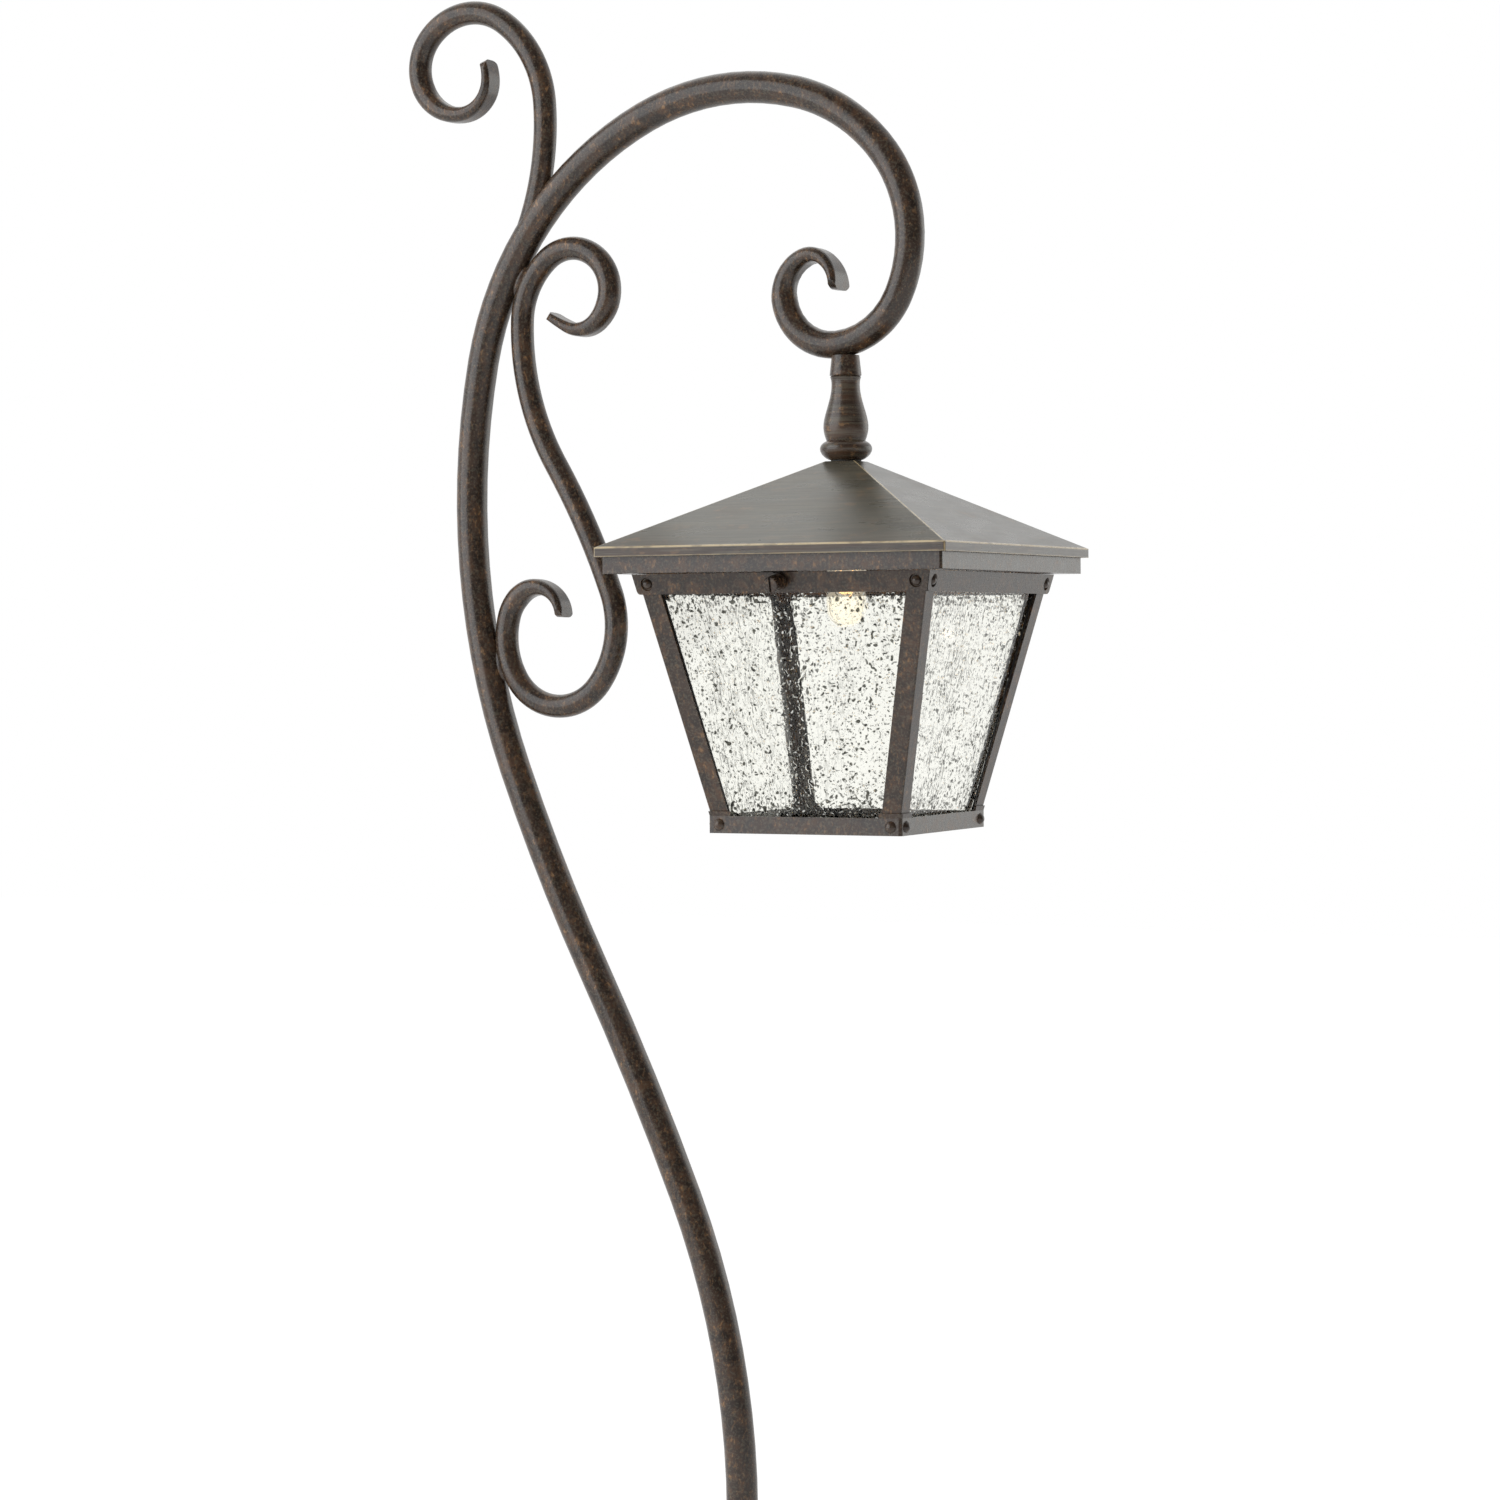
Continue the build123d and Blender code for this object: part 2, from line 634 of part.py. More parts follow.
def hex_nut(flats, bore, height):
    """A hexagon nut standing on the XY plane, with its top corners rounded off."""
    nut = extrude(RegularPolygon(flats / 2, 6, major_radius=False), height)
    cone = Cone(flats / 2 + height, flats / 2 - 0.4, height * 1.4, align=TO_BASE)
    return (nut & Pos(0, 0, -height * 0.4) * cone) - Cylinder(bore, height * 3)


def nut_below(face, height):
    """A nut on the nipple, screwed up against a face above it."""
    return Pos(AXIS_X, 0, face) * Rot(180, 0, 0) * hex_nut(NUT_FLATS, NIPPLE_OD / 2, height)


# ---- roof ----------------------------------------------------------------------------------
def pyramid(top_half, foot_half, top, foot):
    """A square frustum on the lantern's axis."""
    upper = Plane(origin=(AXIS_X, 0, top)) * Rectangle(2 * top_half, 2 * top_half)
    lower = Plane(origin=(AXIS_X, 0, foot)) * Rectangle(2 * foot_half, 2 * foot_half)
    return loft([lower, upper], ruled=True)


def rounded(top_half, foot_half, top, foot, radius):
    """A square frustum with rounded corners, on the lantern's axis."""
    sections = []
    for half, z in ((foot_half, foot), (top_half, top)):
        sections.append(Plane(origin=(AXIS_X, 0, z)) * RectangleRounded(2 * half, 2 * half, radius))
    return loft(sections, ruled=True)


def block(half, foot, top):
    return Pos(AXIS_X, 0, foot) * Box(2 * half, 2 * half, top - foot, align=TO_BASE)


def roof_inside():
    """The hollow under the roof sheet, down to the lip's lower edge."""
    pitch = ROOF_RISE / (ROOF_HALF - ROOF_TOP_HALF)
    drop = ROOF_SHEET * sqrt(1 + pitch**2)
    wall = ROOF_HALF - ROOF_SHEET
    eave = Z_EAVE + ROOF_SHEET * pitch - drop
    top = Z_ROOF - ROOF_SHEET
    top_half = wall - (top - eave) / pitch
    return pyramid(top_half, wall, top, eave) + block(wall, Z_LIP, eave)


def roof_cap():
    """Pyramid of folded sheet with a turned-down lip."""
    outer = rounded(ROOF_TOP_HALF, ROOF_HALF, Z_ROOF, Z_EAVE, ROOF_CORNER)
    outer += rounded(ROOF_HALF, ROOF_HALF, Z_EAVE, Z_LIP, ROOF_CORNER)
    shell = outer - roof_inside()
    return shell - Pos(AXIS_X, 0, Z_ROOF) * Cylinder(NIPPLE_OD / 2 + BORE_CLEARANCE, NUT_HEIGHT * 2)


def tab_half(z):
    """Half the span across the outer faces of the screw tabs at a height."""
    return post_half(z) - CAGE_GAP


def roof_skirt():
    """Square tray under the roof, with two bent tabs that carry the thumb screws."""
    wall = block(SKIRT_HALF, Z_SKIRT, Z_ROOF)
    wall = fillet(wall.edges().filter_by(Axis.Z), SKIRT_SHEET)
    floor_top = Z_SKIRT + SKIRT_SHEET
    room = block(SKIRT_HALF - SKIRT_SHEET, floor_top, Z_ROOF)
    window = block(tab_half(floor_top) - TAB_SHEET, Z_SKIRT, floor_top)
    body = (wall - room - window) & (roof_inside() + block(SKIRT_HALF, Z_SKIRT, Z_LIP))
    foot = Z_BAND + PANE_LAP + TAB_CLEARANCE
    leg = make_face(
        Polyline(
            [
                (tab_half(foot), foot),
                (tab_half(floor_top), floor_top),
                (tab_half(floor_top) - TAB_SHEET, floor_top),
                (tab_half(foot) - TAB_SHEET, foot),
            ],
            close=True,
        )
    )
    tab = extrude(Plane.YZ * leg, TAB_WIDTH / 2, both=True)
    tab -= screw_place() * Cylinder(SCREW_OD / 2 + SCREW_FIT, TAB_WIDTH)
    for side in (0, 180):
        body += Pos(AXIS_X, 0, 0) * Rot(0, 0, side) * tab
    return body


def screw_place():
    """Frame of the rear thumb screw: origin on the band's outer face, Z out of it, Y up."""
    reach = post_half(Z_SCREW) + BAND_SHEET
    outward = (0, cos(radians(CAGE_TILT)), -sin(radians(CAGE_TILT)))
    return Location(Plane(origin=(0, reach, Z_SCREW), x_dir=(-1, 0, 0), z_dir=outward))


def at_screw(side, piece):
    """A piece in the screw's frame, put on the lantern's rear (0) or front (180) face."""
    return Pos(AXIS_X, 0, 0) * Rot(0, 0, side) * screw_place() * piece


def tab_nuts():
    """A weld nut behind each tab."""
    behind = -(BAND_SHEET + CAGE_GAP + TAB_SHEET) * cos(radians(CAGE_TILT))
    nut = hex_nut(TAB_NUT_FLATS, SCREW_OD / 2 + SCREW_FIT, TAB_NUT_HEIGHT)
    return [at_screw(side, Pos(0, 0, behind) * Rot(180, 0, 0) * nut) for side in (180, 0)]


def thumb_screw(side):
    """Slotted knurled knob, neck and threaded shank in one turning, stood off by the washer."""
    seat = SCREW_SLACK + WASHER_SHEET
    knob = Pos(0, 0, KNOB_NECK) * Cylinder(KNOB_OD / 2, KNOB_LENGTH, align=TO_BASE)
    knob = chamfer(knob.edges().filter_by(GeomType.CIRCLE), KNOB_EDGE)
    flute = Cylinder(KNOB_OD * pi / KNURLS / 4, KNOB_LENGTH * 3)
    for index in range(KNURLS):
        knob -= Rot(0, 0, index * 360 / KNURLS) * Pos(KNOB_OD / 2, 0, 0) * flute
    knob -= Pos(0, 0, KNOB_NECK + KNOB_LENGTH) * Box(KNOB_SLOT, 2 * KNOB_OD, 2 * KNOB_SLOT)
    neck = Cylinder(KNOB_NECK_OD / 2, KNOB_NECK, align=TO_BASE)
    tail = BAND_SHEET + CAGE_GAP + TAB_SHEET + TAB_NUT_HEIGHT + SHANK_SPARE
    shank = Cylinder(SCREW_OD / 2, seat + tail, align=TO_TOP)
    shank = chamfer(shank.edges().sort_by(Axis.Z)[0], KNOB_EDGE)
    return at_screw(side, Pos(0, 0, seat) * (knob + neck + shank))


def screw_washer(side):
    """Captive washer under the knob's neck."""
    ring = Cylinder(WASHER_OD / 2, WASHER_SHEET, align=TO_BASE)
    ring -= Cylinder(SCREW_OD / 2 + SCREW_FIT, 3 * WASHER_SHEET)
    return at_screw(side, Pos(0, 0, SCREW_SLACK) * ring)


# ---- cage ----------------------------------------------------------------------------------
def angle_section(half, z):
    """A corner angle's L section, its heel at one corner of the cage, bent to a radius."""
    inner = POST_FLANGE - POST_SHEET
    outline = Polyline(
        [
            (half, half),
            (half, half - POST_FLANGE),
            (half - POST_SHEET, half - POST_FLANGE),
            (half - POST_SHEET, half - POST_SHEET),
            (half - POST_SHEET - inner, half - POST_SHEET),
            (half - POST_FLANGE, half),
        ],
        close=True,
    )
    face = make_face(outline)
    heel = face.vertices().sort_by_distance((half, half, 0))[0]
    return Plane(origin=(AXIS_X, 0, z)) * fillet(heel, POST_BEND)


def corner_post(quarter):
    """Bent-angle post: it leans with the glass, then stands upright inside the foot."""
    top = Z_BAND_TOP - POST_SHORT
    knee = angle_section(POST_FOOT_HALF, Z_FOOT_TOP)
    leaning = loft([knee, angle_section(post_half(top), top)], ruled=True)
    foot = extrude(knee, -(FOOT_HEIGHT - FOOT_FLOOR))
    post = about_axis(quarter, leaning + foot)
    drill = Cylinder(RIVET_SHANK / 2, POST_FLANGE)
    for hole in all_round(upper_rivet_places() + lower_rivet_places(), drill):
        post -= hole
    return post


def about_axis(quarter, piece):
    """A piece turned by quarter turns about the lantern's axis."""
    return Pos(AXIS_X, 0, 0) * Rot(0, 0, 90 * quarter) * Pos(-AXIS_X, 0, 0) * piece


def wedge_quarter(half, foot, top):
    """The quarter of the lantern that faces -Y, cut along its diagonals with a mitre gap."""
    reach = half - MITRE_GAP
    face = make_face(Polyline([(0, -MITRE_GAP), (reach, -half), (-reach, -half)], close=True))
    return Pos(AXIS_X, 0, foot) * extrude(face, top - foot)


def band_face():
    """What a band shows from the front: it narrows downwards and its lower corners are rounded."""
    low = post_half(Z_BAND) + BAND_SHEET
    high = post_half(Z_BAND_TOP) + BAND_SHEET
    corners = [(-low, Z_BAND), (low, Z_BAND), (high, Z_BAND_TOP), (-high, Z_BAND_TOP)]
    sheet = make_face(Polyline(corners, close=True))
    sheet = fillet(sheet.vertices().group_by(Axis.Y)[0], BAND_CORNER)
    return Pos(AXIS_X, 0, 0) * extrude(Plane.XZ * sheet, 2 * high)


def top_band(quarter):
    """Strip across the head of one side, dimpled for its rivets; front and rear are slotted."""
    outer = pyramid(post_half(Z_BAND_TOP) + BAND_SHEET, post_half(Z_BAND) + BAND_SHEET, Z_BAND_TOP, Z_BAND)
    inner = pyramid(post_half(Z_BAND_TOP), post_half(Z_BAND), Z_BAND_TOP, Z_BAND)
    strip = (outer - inner) & wedge_quarter(2 * POST_TOP_HALF, Z_BAND, Z_BAND_TOP) & band_face()
    dimple = Cone(UPPER_DIMPLE / 2 - DIMPLE_DEPTH / 2, UPPER_DIMPLE / 2, DIMPLE_DEPTH, align=TO_TOP)
    for place in upper_rivet_places():
        strip -= place * (dimple + Cylinder(RIVET_SHANK / 2, BAND_SHEET * 4))
    if quarter % 2 == 0:
        slot = Pos(0, BAND_HEIGHT / 2, 0) * Box(SCREW_OD + 2 * SLOT_CLEARANCE, BAND_HEIGHT, BAND_HEIGHT)
        slot += Cylinder(SCREW_OD / 2 + SLOT_CLEARANCE, BAND_HEIGHT)
        strip -= at_screw(180, slot)
    return about_axis(quarter, strip)


def upper_rivet_places():
    """Frames of the two rivets at the head of the -Y side, on the strip's outer face."""
    z = Z_BAND + BAND_HEIGHT / 2
    reach = post_half(z) + BAND_SHEET
    outward = (0, -cos(radians(CAGE_TILT)), -sin(radians(CAGE_TILT)))
    places = []
    for hand in (-1, 1):
        x = hand * (post_half(z) - RIVET_INSET)
        places.append(Location(Plane(origin=(AXIS_X + x, -reach, z), x_dir=(1, 0, 0), z_dir=outward)))
    return places


def lower_rivet_places():
    """Frames of the two rivets at the foot of the -Y side, on the foot's outer face."""
    z = (Z_FOOT + Z_FOOT_TOP) / 2
    places = []
    for hand in (-1, 1):
        face = (AXIS_X + hand * (POST_FOOT_HALF - RIVET_INSET), -POST_FOOT_HALF - FOOT_SHEET, z)
        places.append(Location(Plane(origin=face, x_dir=(1, 0, 0), z_dir=(0, -1, 0))))
    return places


def rivet(head, grip, sunk):
    """A round-headed rivet whose head starts sunk below the face it holds."""
    rise = RIVET_RISE
    radius = head / 2
    dome = (radius**2 + rise**2) / (2 * rise)
    profile = Wire(
        [
            Line((0, -grip), (RIVET_SHANK / 2, -grip)),
            Line((RIVET_SHANK / 2, -grip), (RIVET_SHANK / 2, -sunk)),
            Line((RIVET_SHANK / 2, -sunk), (radius, -sunk)),
            RadiusArc((radius, -sunk), (0, rise - sunk), -dome),
            Line((0, rise - sunk), (0, -grip)),
        ]
    )
    return revolve(Plane.XZ * make_face(profile), Axis.Z)


def all_round(places, piece):
    """A piece at each place of every side of the cage."""
    return [about_axis(quarter, place * piece) for quarter in range(4) for place in places]


def upper_rivets():
    grip = (BAND_SHEET + POST_SHEET) * cos(radians(CAGE_TILT))
    return all_round(upper_rivet_places(), rivet(UPPER_HEAD, grip, DIMPLE_DEPTH))


def lower_rivets():
    return all_round(lower_rivet_places(), rivet(RIVET_HEAD, FOOT_SHEET + POST_SHEET, 0))


def cage_foot():
    """Square foot tray: a riveted band, ears that follow the posts up, and a floor flange."""
    high = Z_FOOT_TOP + EAR_HEIGHT
    outer = POST_FOOT_HALF + FOOT_SHEET
    bend = POST_BEND + FOOT_SHEET
    band = rounded(outer, outer, Z_FOOT_TOP, Z_FOOT, bend)
    band -= rounded(POST_FOOT_HALF, POST_FOOT_HALF, Z_FOOT_TOP, Z_FOOT + FOOT_FLOOR, POST_BEND)
    ears = rounded(post_half(high) + FOOT_SHEET, outer, high, Z_FOOT_TOP, bend)
    ears -= rounded(post_half(high), POST_FOOT_HALF, high, Z_FOOT_TOP, POST_BEND)
    notch = 2 * (outer - EAR_WIDTH)
    for turn in (0, 90):
        ears -= Pos(AXIS_X, 0, Z_FOOT_TOP) * Rot(0, 0, turn) * Box(notch, 3 * outer, 3 * EAR_HEIGHT)
    tray = band + ears - block(POST_FOOT_HALF - FOOT_FLANGE, Z_FOOT, high)
    for hole in all_round(lower_rivet_places(), Cylinder(RIVET_SHANK / 2, FOOT_SHEET * 4)):
        tray -= hole
    return tray


def pane_face(z):
    """Distance of a pane's outer face from the lantern's axis at a height."""
    return post_half(z) - POST_SHEET - PANE_FIT


def pane_depth():
    """A leaning pane's thickness, measured level."""
    return PANE / cos(radians(CAGE_TILT))


def glass_pane(quarter):
    """Seeded glass plate that stands on the foot's flange and leans on two posts."""
    foot = Z_FOOT + FOOT_FLOOR
    top = Z_BAND + PANE_LAP
    near = [(pane_face(foot), foot), (pane_face(top), top)]
    far = [(y - pane_depth(), z) for y, z in reversed(near)]
    slab = extrude(Plane.YZ * make_face(Polyline(near + far, close=True)), POST_TOP_HALF, both=True)
    low = pane_face(foot) - pane_depth() - PANE_SIDE_GAP
    high = pane_face(top) - pane_depth() - PANE_SIDE_GAP
    shape = make_face(Polyline([(-low, foot), (low, foot), (high, top), (-high, top)], close=True))
    plate = slab & extrude(Plane.XZ * shape, -2 * POST_TOP_HALF)
    return about_axis(quarter, Pos(AXIS_X, 0, 0) * Rot(0, 0, 180) * plate)


def pane_clips():
    """Two bent tabs over the top edge of each pane, spot-welded to the posts."""
    head = Z_BAND + PANE_LAP + CLIP_FIT
    lean = CAGE_SLOPE
    wall = post_half(head) - POST_SHEET
    step = wall - PANE_FIT - pane_depth() - CLIP_FIT
    profile = [
        (wall, head),
        (wall + lean * CLIP_RISE, head + CLIP_RISE),
        (wall + lean * CLIP_RISE - CLIP_SHEET, head + CLIP_RISE),
        (wall + lean * CLIP_SHEET - CLIP_SHEET, head + CLIP_SHEET),
        (step - CLIP_SHEET, head + CLIP_SHEET),
        (step - lean * CLIP_HOOK - CLIP_SHEET, head - CLIP_HOOK),
        (step - lean * CLIP_HOOK, head - CLIP_HOOK),
        (step, head),
    ]
    strip = extrude(Plane.YZ * make_face(Polyline(profile, close=True)), CLIP_WIDTH / 2, both=True)
    middle = wall - pane_depth() - PANE_SIDE_GAP - CLIP_WIDTH / 2 - CLIP_MARGIN
    clips = []
    for quarter in range(4):
        for hand in (-1, 1):
            clips.append(about_axis(quarter, Pos(AXIS_X + hand * middle, 0, 0) * strip))
    return clips


# ---- lamp ----------------------------------------------------------------------------------
def strap_top():
    return Z_ROOF - ROOF_SHEET - WASHER - NUT_HEIGHT


def socket_top():
    return strap_top() - STRAP_SHEET - LOCKNUT_HEIGHT - SOCKET_GAP


def lamp_strap():
    """Bent strap, clamped by the locknut, that the lampholder is screwed to."""
    high = strap_top()
    leg = SOCKET_OD / 2 - SOCKET_FLAT
    from_end = (Align.MIN, Align.CENTER, Align.MAX)
    shelf = Box(leg + STRAP_SHEET + STRAP_WIDTH / 2, STRAP_WIDTH, STRAP_SHEET, align=from_end)
    shelf = Pos(-STRAP_WIDTH / 2, 0, 0) * shelf - Cylinder(NIPPLE_OD / 2 + BORE_CLEARANCE, 4 * STRAP_SHEET)
    strap = shelf + Pos(leg, 0, 0) * Box(STRAP_SHEET, STRAP_WIDTH, STRAP_LEG, align=from_end)
    hole = Rot(0, 90, 0) * Cylinder(STRAP_SCREW_OD / 2 + SCREW_FIT, 4 * STRAP_SHEET)
    strap -= Pos(leg, 0, screw_height() - high) * hole
    bend = strap.edges().filter_by(Axis.Y).sort_by_distance((leg + STRAP_SHEET, 0, 0))[0]
    return Pos(AXIS_X, 0, high) * fillet(bend, STRAP_SHEET)


def screw_height():
    return socket_top() - SOCKET_HEIGHT / 3


def lamp_socket():
    """Moulded wedge lampholder with a flat for the strap and a slot for the lamp's base."""
    body = Cylinder(SOCKET_OD / 2, SOCKET_HEIGHT, align=TO_TOP)
    body = fillet(body.edges().sort_by(Axis.Z)[-1], SOCKET_EDGE)
    flat = SOCKET_OD / 2 - SOCKET_FLAT
    beyond = (Align.MIN, Align.CENTER, Align.CENTER)
    body -= Pos(flat, 0, 0) * Box(SOCKET_OD, SOCKET_OD * 2, SOCKET_HEIGHT * 2, align=beyond)
    width = WEDGE_WIDTH + 2 * WEDGE_CLEARANCE
    thick = WEDGE_THICKNESS + 2 * WEDGE_CLEARANCE + 2 * CONTACT_SHEET
    slot = Box(width, thick, WEDGE_DEPTH + WEDGE_CLEARANCE, align=TO_BASE)
    body -= Pos(0, 0, -SOCKET_HEIGHT) * slot
    for pole in (-1, 1):
        body -= Pos(0, pole * wire_side(), 0) * Cylinder(WIRE_OD / 2 + SCREW_FIT, SOCKET_HEIGHT / 3)
    pilot = Rot(0, -90, 0) * Cylinder(STRAP_SCREW_OD / 2, STRAP_SCREW_GRIP + LAMP_GAP, align=TO_BASE)
    body -= Pos(flat, 0, screw_height() - socket_top()) * pilot
    return Pos(AXIS_X, 0, socket_top()) * body


def socket_contacts():
    """A sprung contact leaf on each side of the wedge slot."""
    leaves = []
    face = WEDGE_THICKNESS / 2 + WEDGE_CLEARANCE
    foot = socket_top() - SOCKET_HEIGHT
    for pole in (-1, 1):
        leaf = Box(WEDGE_WIDTH / 2, CONTACT_SHEET, WEDGE_DEPTH, align=TO_BASE)
        leaves.append(Pos(AXIS_X, pole * (face + CONTACT_SHEET / 2), foot) * leaf)
    return leaves


def socket_screw():
    """Pan-head screw through the strap into the lampholder."""
    rise = STRAP_SCREW_RISE
    head = Cylinder(STRAP_SCREW_HEAD / 2, rise, align=TO_BASE)
    head = fillet(head.edges().sort_by(Axis.Z)[-1], DRIVER_SLOT)
    screw = head + Cylinder(STRAP_SCREW_OD / 2, STRAP_SCREW_GRIP + STRAP_SHEET, align=TO_TOP)
    screw -= Pos(0, 0, rise) * Box(2 * STRAP_SCREW_HEAD, DRIVER_SLOT, rise)
    face = SOCKET_OD / 2 - SOCKET_FLAT + STRAP_SHEET
    return Pos(AXIS_X + face, 0, screw_height()) * Rot(0, 90, 0) * screw


def bulb_outline(inset):
    """The lamp's round envelope as a solid of revolution, shrunk by an inset."""
    shoulder = lamp_shoulder() - 4 * inset
    radius = BULB_OD / 2 - inset
    foot = lamp_shoulder() - BULB_LENGTH + inset
    neck = WEDGE_WIDTH / 2 - inset
    swell = shoulder - BULB_OD * 0.4
    outline = [
        Line((0, shoulder), (neck, shoulder)),
        Spline((neck, shoulder), (radius, swell), tangents=((0.9, -0.5), (0, -1))),
        Line((radius, swell), (radius, foot + radius)),
        RadiusArc((radius, foot + radius), (0, foot), radius),
        Line((0, foot), (0, shoulder)),
    ]
    return turned(*outline)


def lamp_shoulder():
    return socket_top() - SOCKET_HEIGHT - LAMP_GAP


def lamp_glass():
    """Wedge-base lamp: a thin round envelope, pinched flat into its base."""
    wedge = Box(WEDGE_WIDTH, WEDGE_THICKNESS, WEDGE_DEPTH, align=TO_BASE)
    return bulb_outline(0) - bulb_outline(BULB_GLASS) + Pos(AXIS_X, 0, lamp_shoulder()) * wedge


def lamp_filament():
    """Two support wires out of the pinch, joined by the filament."""
    top = lamp_shoulder() - 4 * BULB_GLASS
    post = Cylinder(FILAMENT_POST / 2, BULB_LENGTH * 0.4, align=TO_TOP)
    span = FILAMENT_SPAN / 2
    bar = Rot(0, 90, 0) * Cylinder(FILAMENT_OD / 2, FILAMENT_SPAN + FILAMENT_POST)
    frame = Pos(-span, 0, 0) * post + Pos(span, 0, 0) * post + Pos(0, 0, -BULB_LENGTH * 0.4) * bar
    return Pos(AXIS_X, 0, top) * frame


def lead_route():
    """Centreline of the leads: up the nipple, back round the crook and down the stem."""
    over = HOOK_ARCS[HANG_ARC]
    loop = over.arc_center
    centre_x = AXIS_X + WIRE_BEND
    centre_z = loop.Y - sqrt((HANG_RADIUS + WIRE_BEND) ** 2 - (centre_x - loop.X) ** 2)
    turn = 180 - bearing(Vector(centre_x, centre_z), loop)
    top = Vector(AXIS_X, centre_z)
    rise = Line((AXIS_X, socket_top() - SOCKET_HEIGHT / 9), top)
    onto, end, heading = bent(top, 90, [(WIRE_BEND, -turn)])
    swing = (bearing(loop, over @ 0) - bearing(loop, end)) % 360
    back = [(radius, -angle) for radius, angle in reversed(CROOK_BENDS + CROOK_HOOK[:HANG_ARC])]
    home, _, _ = bent(end, heading, [(HANG_RADIUS, swing)] + back)
    stem = Line((0, STEM_STRAIGHT), (0, -HUB_DEPTH + HUB_FLOOR + TERMINAL_HEIGHT))
    return [rise] + onto + home + [stem]


def wire_side():
    return (WIRE_OD + WIRE_GAP) / 2


def internal_leads():
    """Two insulated leads side by side, from the lampholder to the terminal in the hub."""
    lead = rod(lead_route(), WIRE_OD)
    return [Pos(0, side * wire_side(), 0) * lead for side in (-1, 1)]


# ---- the whole lantern ---------------------------------------------------------------------
def pieces():
    """Every node by name: one solid, or a list of like solids."""
    blank = crook_blank()
    scroll = s_scroll(blank)
    nut_foot = Z_ROOF - ROOF_SHEET - WASHER
    nipple_hole = NIPPLE_OD / 2 + BORE_CLEARANCE
    clamp = ROOF_TOP_HALF - CLAMP_MARGIN
    made = {
        "ground_spike": ground_spike(),
        "cable_grommet": cable_grommet(),
        "hub_cap": hub_cap(),
        "hub_seal": hub_seal(),
        "stem_set_screws": stem_set_screws(),
        "terminal_block": terminal_block(),
        "terminal_screws": terminal_screws(),
        "crook_tube": crook_tube(blank),
        "top_scroll": top_scroll(blank),
        "s_scroll": scroll,
        "scroll_welds": scroll_welds(blank, scroll),
        "hanger_boss": hanger_boss(blank),
        "hanger_nipple": hanger_nipple(),
        "hanger_baluster": hanger_baluster(),
        "bead_ring": bead_ring(),
        "roof_gasket": ring_piece(clamp, nipple_hole, Z_ROOF, GASKET),
        "roof_cap": roof_cap(),
        "roof_skirt": roof_skirt(),
        "nipple_washer": ring_piece(clamp, nipple_hole, nut_foot, WASHER),
        "nipple_nut": nut_below(nut_foot, NUT_HEIGHT),
        "strap_locknut": nut_below(strap_top() - STRAP_SHEET, LOCKNUT_HEIGHT),
        "lamp_strap": lamp_strap(),
        "lamp_socket": lamp_socket(),
        "socket_contacts": socket_contacts(),
        "socket_screw": socket_screw(),
        "lamp_glass": lamp_glass(),
        "lamp_filament": lamp_filament(),
        "internal_leads": internal_leads(),
        "tab_nuts": tab_nuts(),
        "upper_rivets": upper_rivets(),
        "lower_rivets": lower_rivets(),
        "cage_foot": cage_foot(),
        "pane_clips": pane_clips(),
    }
    for quarter, side in enumerate(("front", "right", "rear", "left")):
        made[f"top_band_{side}"] = top_band(quarter)
        made[f"glass_{side}"] = glass_pane(quarter)
    for quarter, corner in enumerate(("rear_right", "rear_left", "front_left", "front_right")):
        made[f"post_{corner}"] = corner_post(quarter)
    for turn, side in ((180, "front"), (0, "rear")):
        made[f"thumb_screw_{side}"] = thumb_screw(turn)
        made[f"screw_washer_{side}"] = screw_washer(turn)
    return made


os.makedirs("parts", exist_ok=True)
for name, piece in pieces().items():
    shape = Compound(children=piece) if isinstance(piece, list) else piece
    export_step(shape, f"parts/{name}.step")
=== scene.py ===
# %% [markdown]
# # A garden path lantern that hangs from a scrolled crook
#
# This lesson dresses a lantern whose metalwork was already drawn as exact solids. Blender adds what a
# solid can't hold: the rubbed bronze paint, the seeded glass, the wound filament, the sealant round
# the panes, and the light. Lengths are in metres, Z is up, and the origin is where the stem leaves
# the ground.

# %% Load the solids
from math import cos, pi, radians, sin

import bmesh
import bpy
from mathutils import Matrix, Vector


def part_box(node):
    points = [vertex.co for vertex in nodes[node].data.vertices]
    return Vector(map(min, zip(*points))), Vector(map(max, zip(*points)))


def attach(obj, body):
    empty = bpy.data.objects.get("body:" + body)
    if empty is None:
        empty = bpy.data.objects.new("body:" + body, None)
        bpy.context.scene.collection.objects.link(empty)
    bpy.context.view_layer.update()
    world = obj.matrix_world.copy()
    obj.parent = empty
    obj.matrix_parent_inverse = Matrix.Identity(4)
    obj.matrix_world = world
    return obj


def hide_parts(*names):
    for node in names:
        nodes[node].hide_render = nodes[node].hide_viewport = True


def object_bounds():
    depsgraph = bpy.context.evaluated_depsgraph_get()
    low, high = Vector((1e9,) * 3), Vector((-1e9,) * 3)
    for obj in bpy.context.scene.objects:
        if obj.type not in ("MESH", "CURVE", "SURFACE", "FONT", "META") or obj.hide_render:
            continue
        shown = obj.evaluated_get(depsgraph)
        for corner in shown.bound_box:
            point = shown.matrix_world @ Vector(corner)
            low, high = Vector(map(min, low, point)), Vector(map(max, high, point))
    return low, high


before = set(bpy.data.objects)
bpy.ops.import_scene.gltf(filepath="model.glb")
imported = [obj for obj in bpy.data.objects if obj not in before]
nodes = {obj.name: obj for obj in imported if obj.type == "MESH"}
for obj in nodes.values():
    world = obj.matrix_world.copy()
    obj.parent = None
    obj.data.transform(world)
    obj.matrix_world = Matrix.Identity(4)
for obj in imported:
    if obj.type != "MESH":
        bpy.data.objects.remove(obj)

solid_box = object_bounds()
MM = 0.001
print("solids", len(nodes), "box", [[round(value, 3) for value in corner] for corner in solid_box])

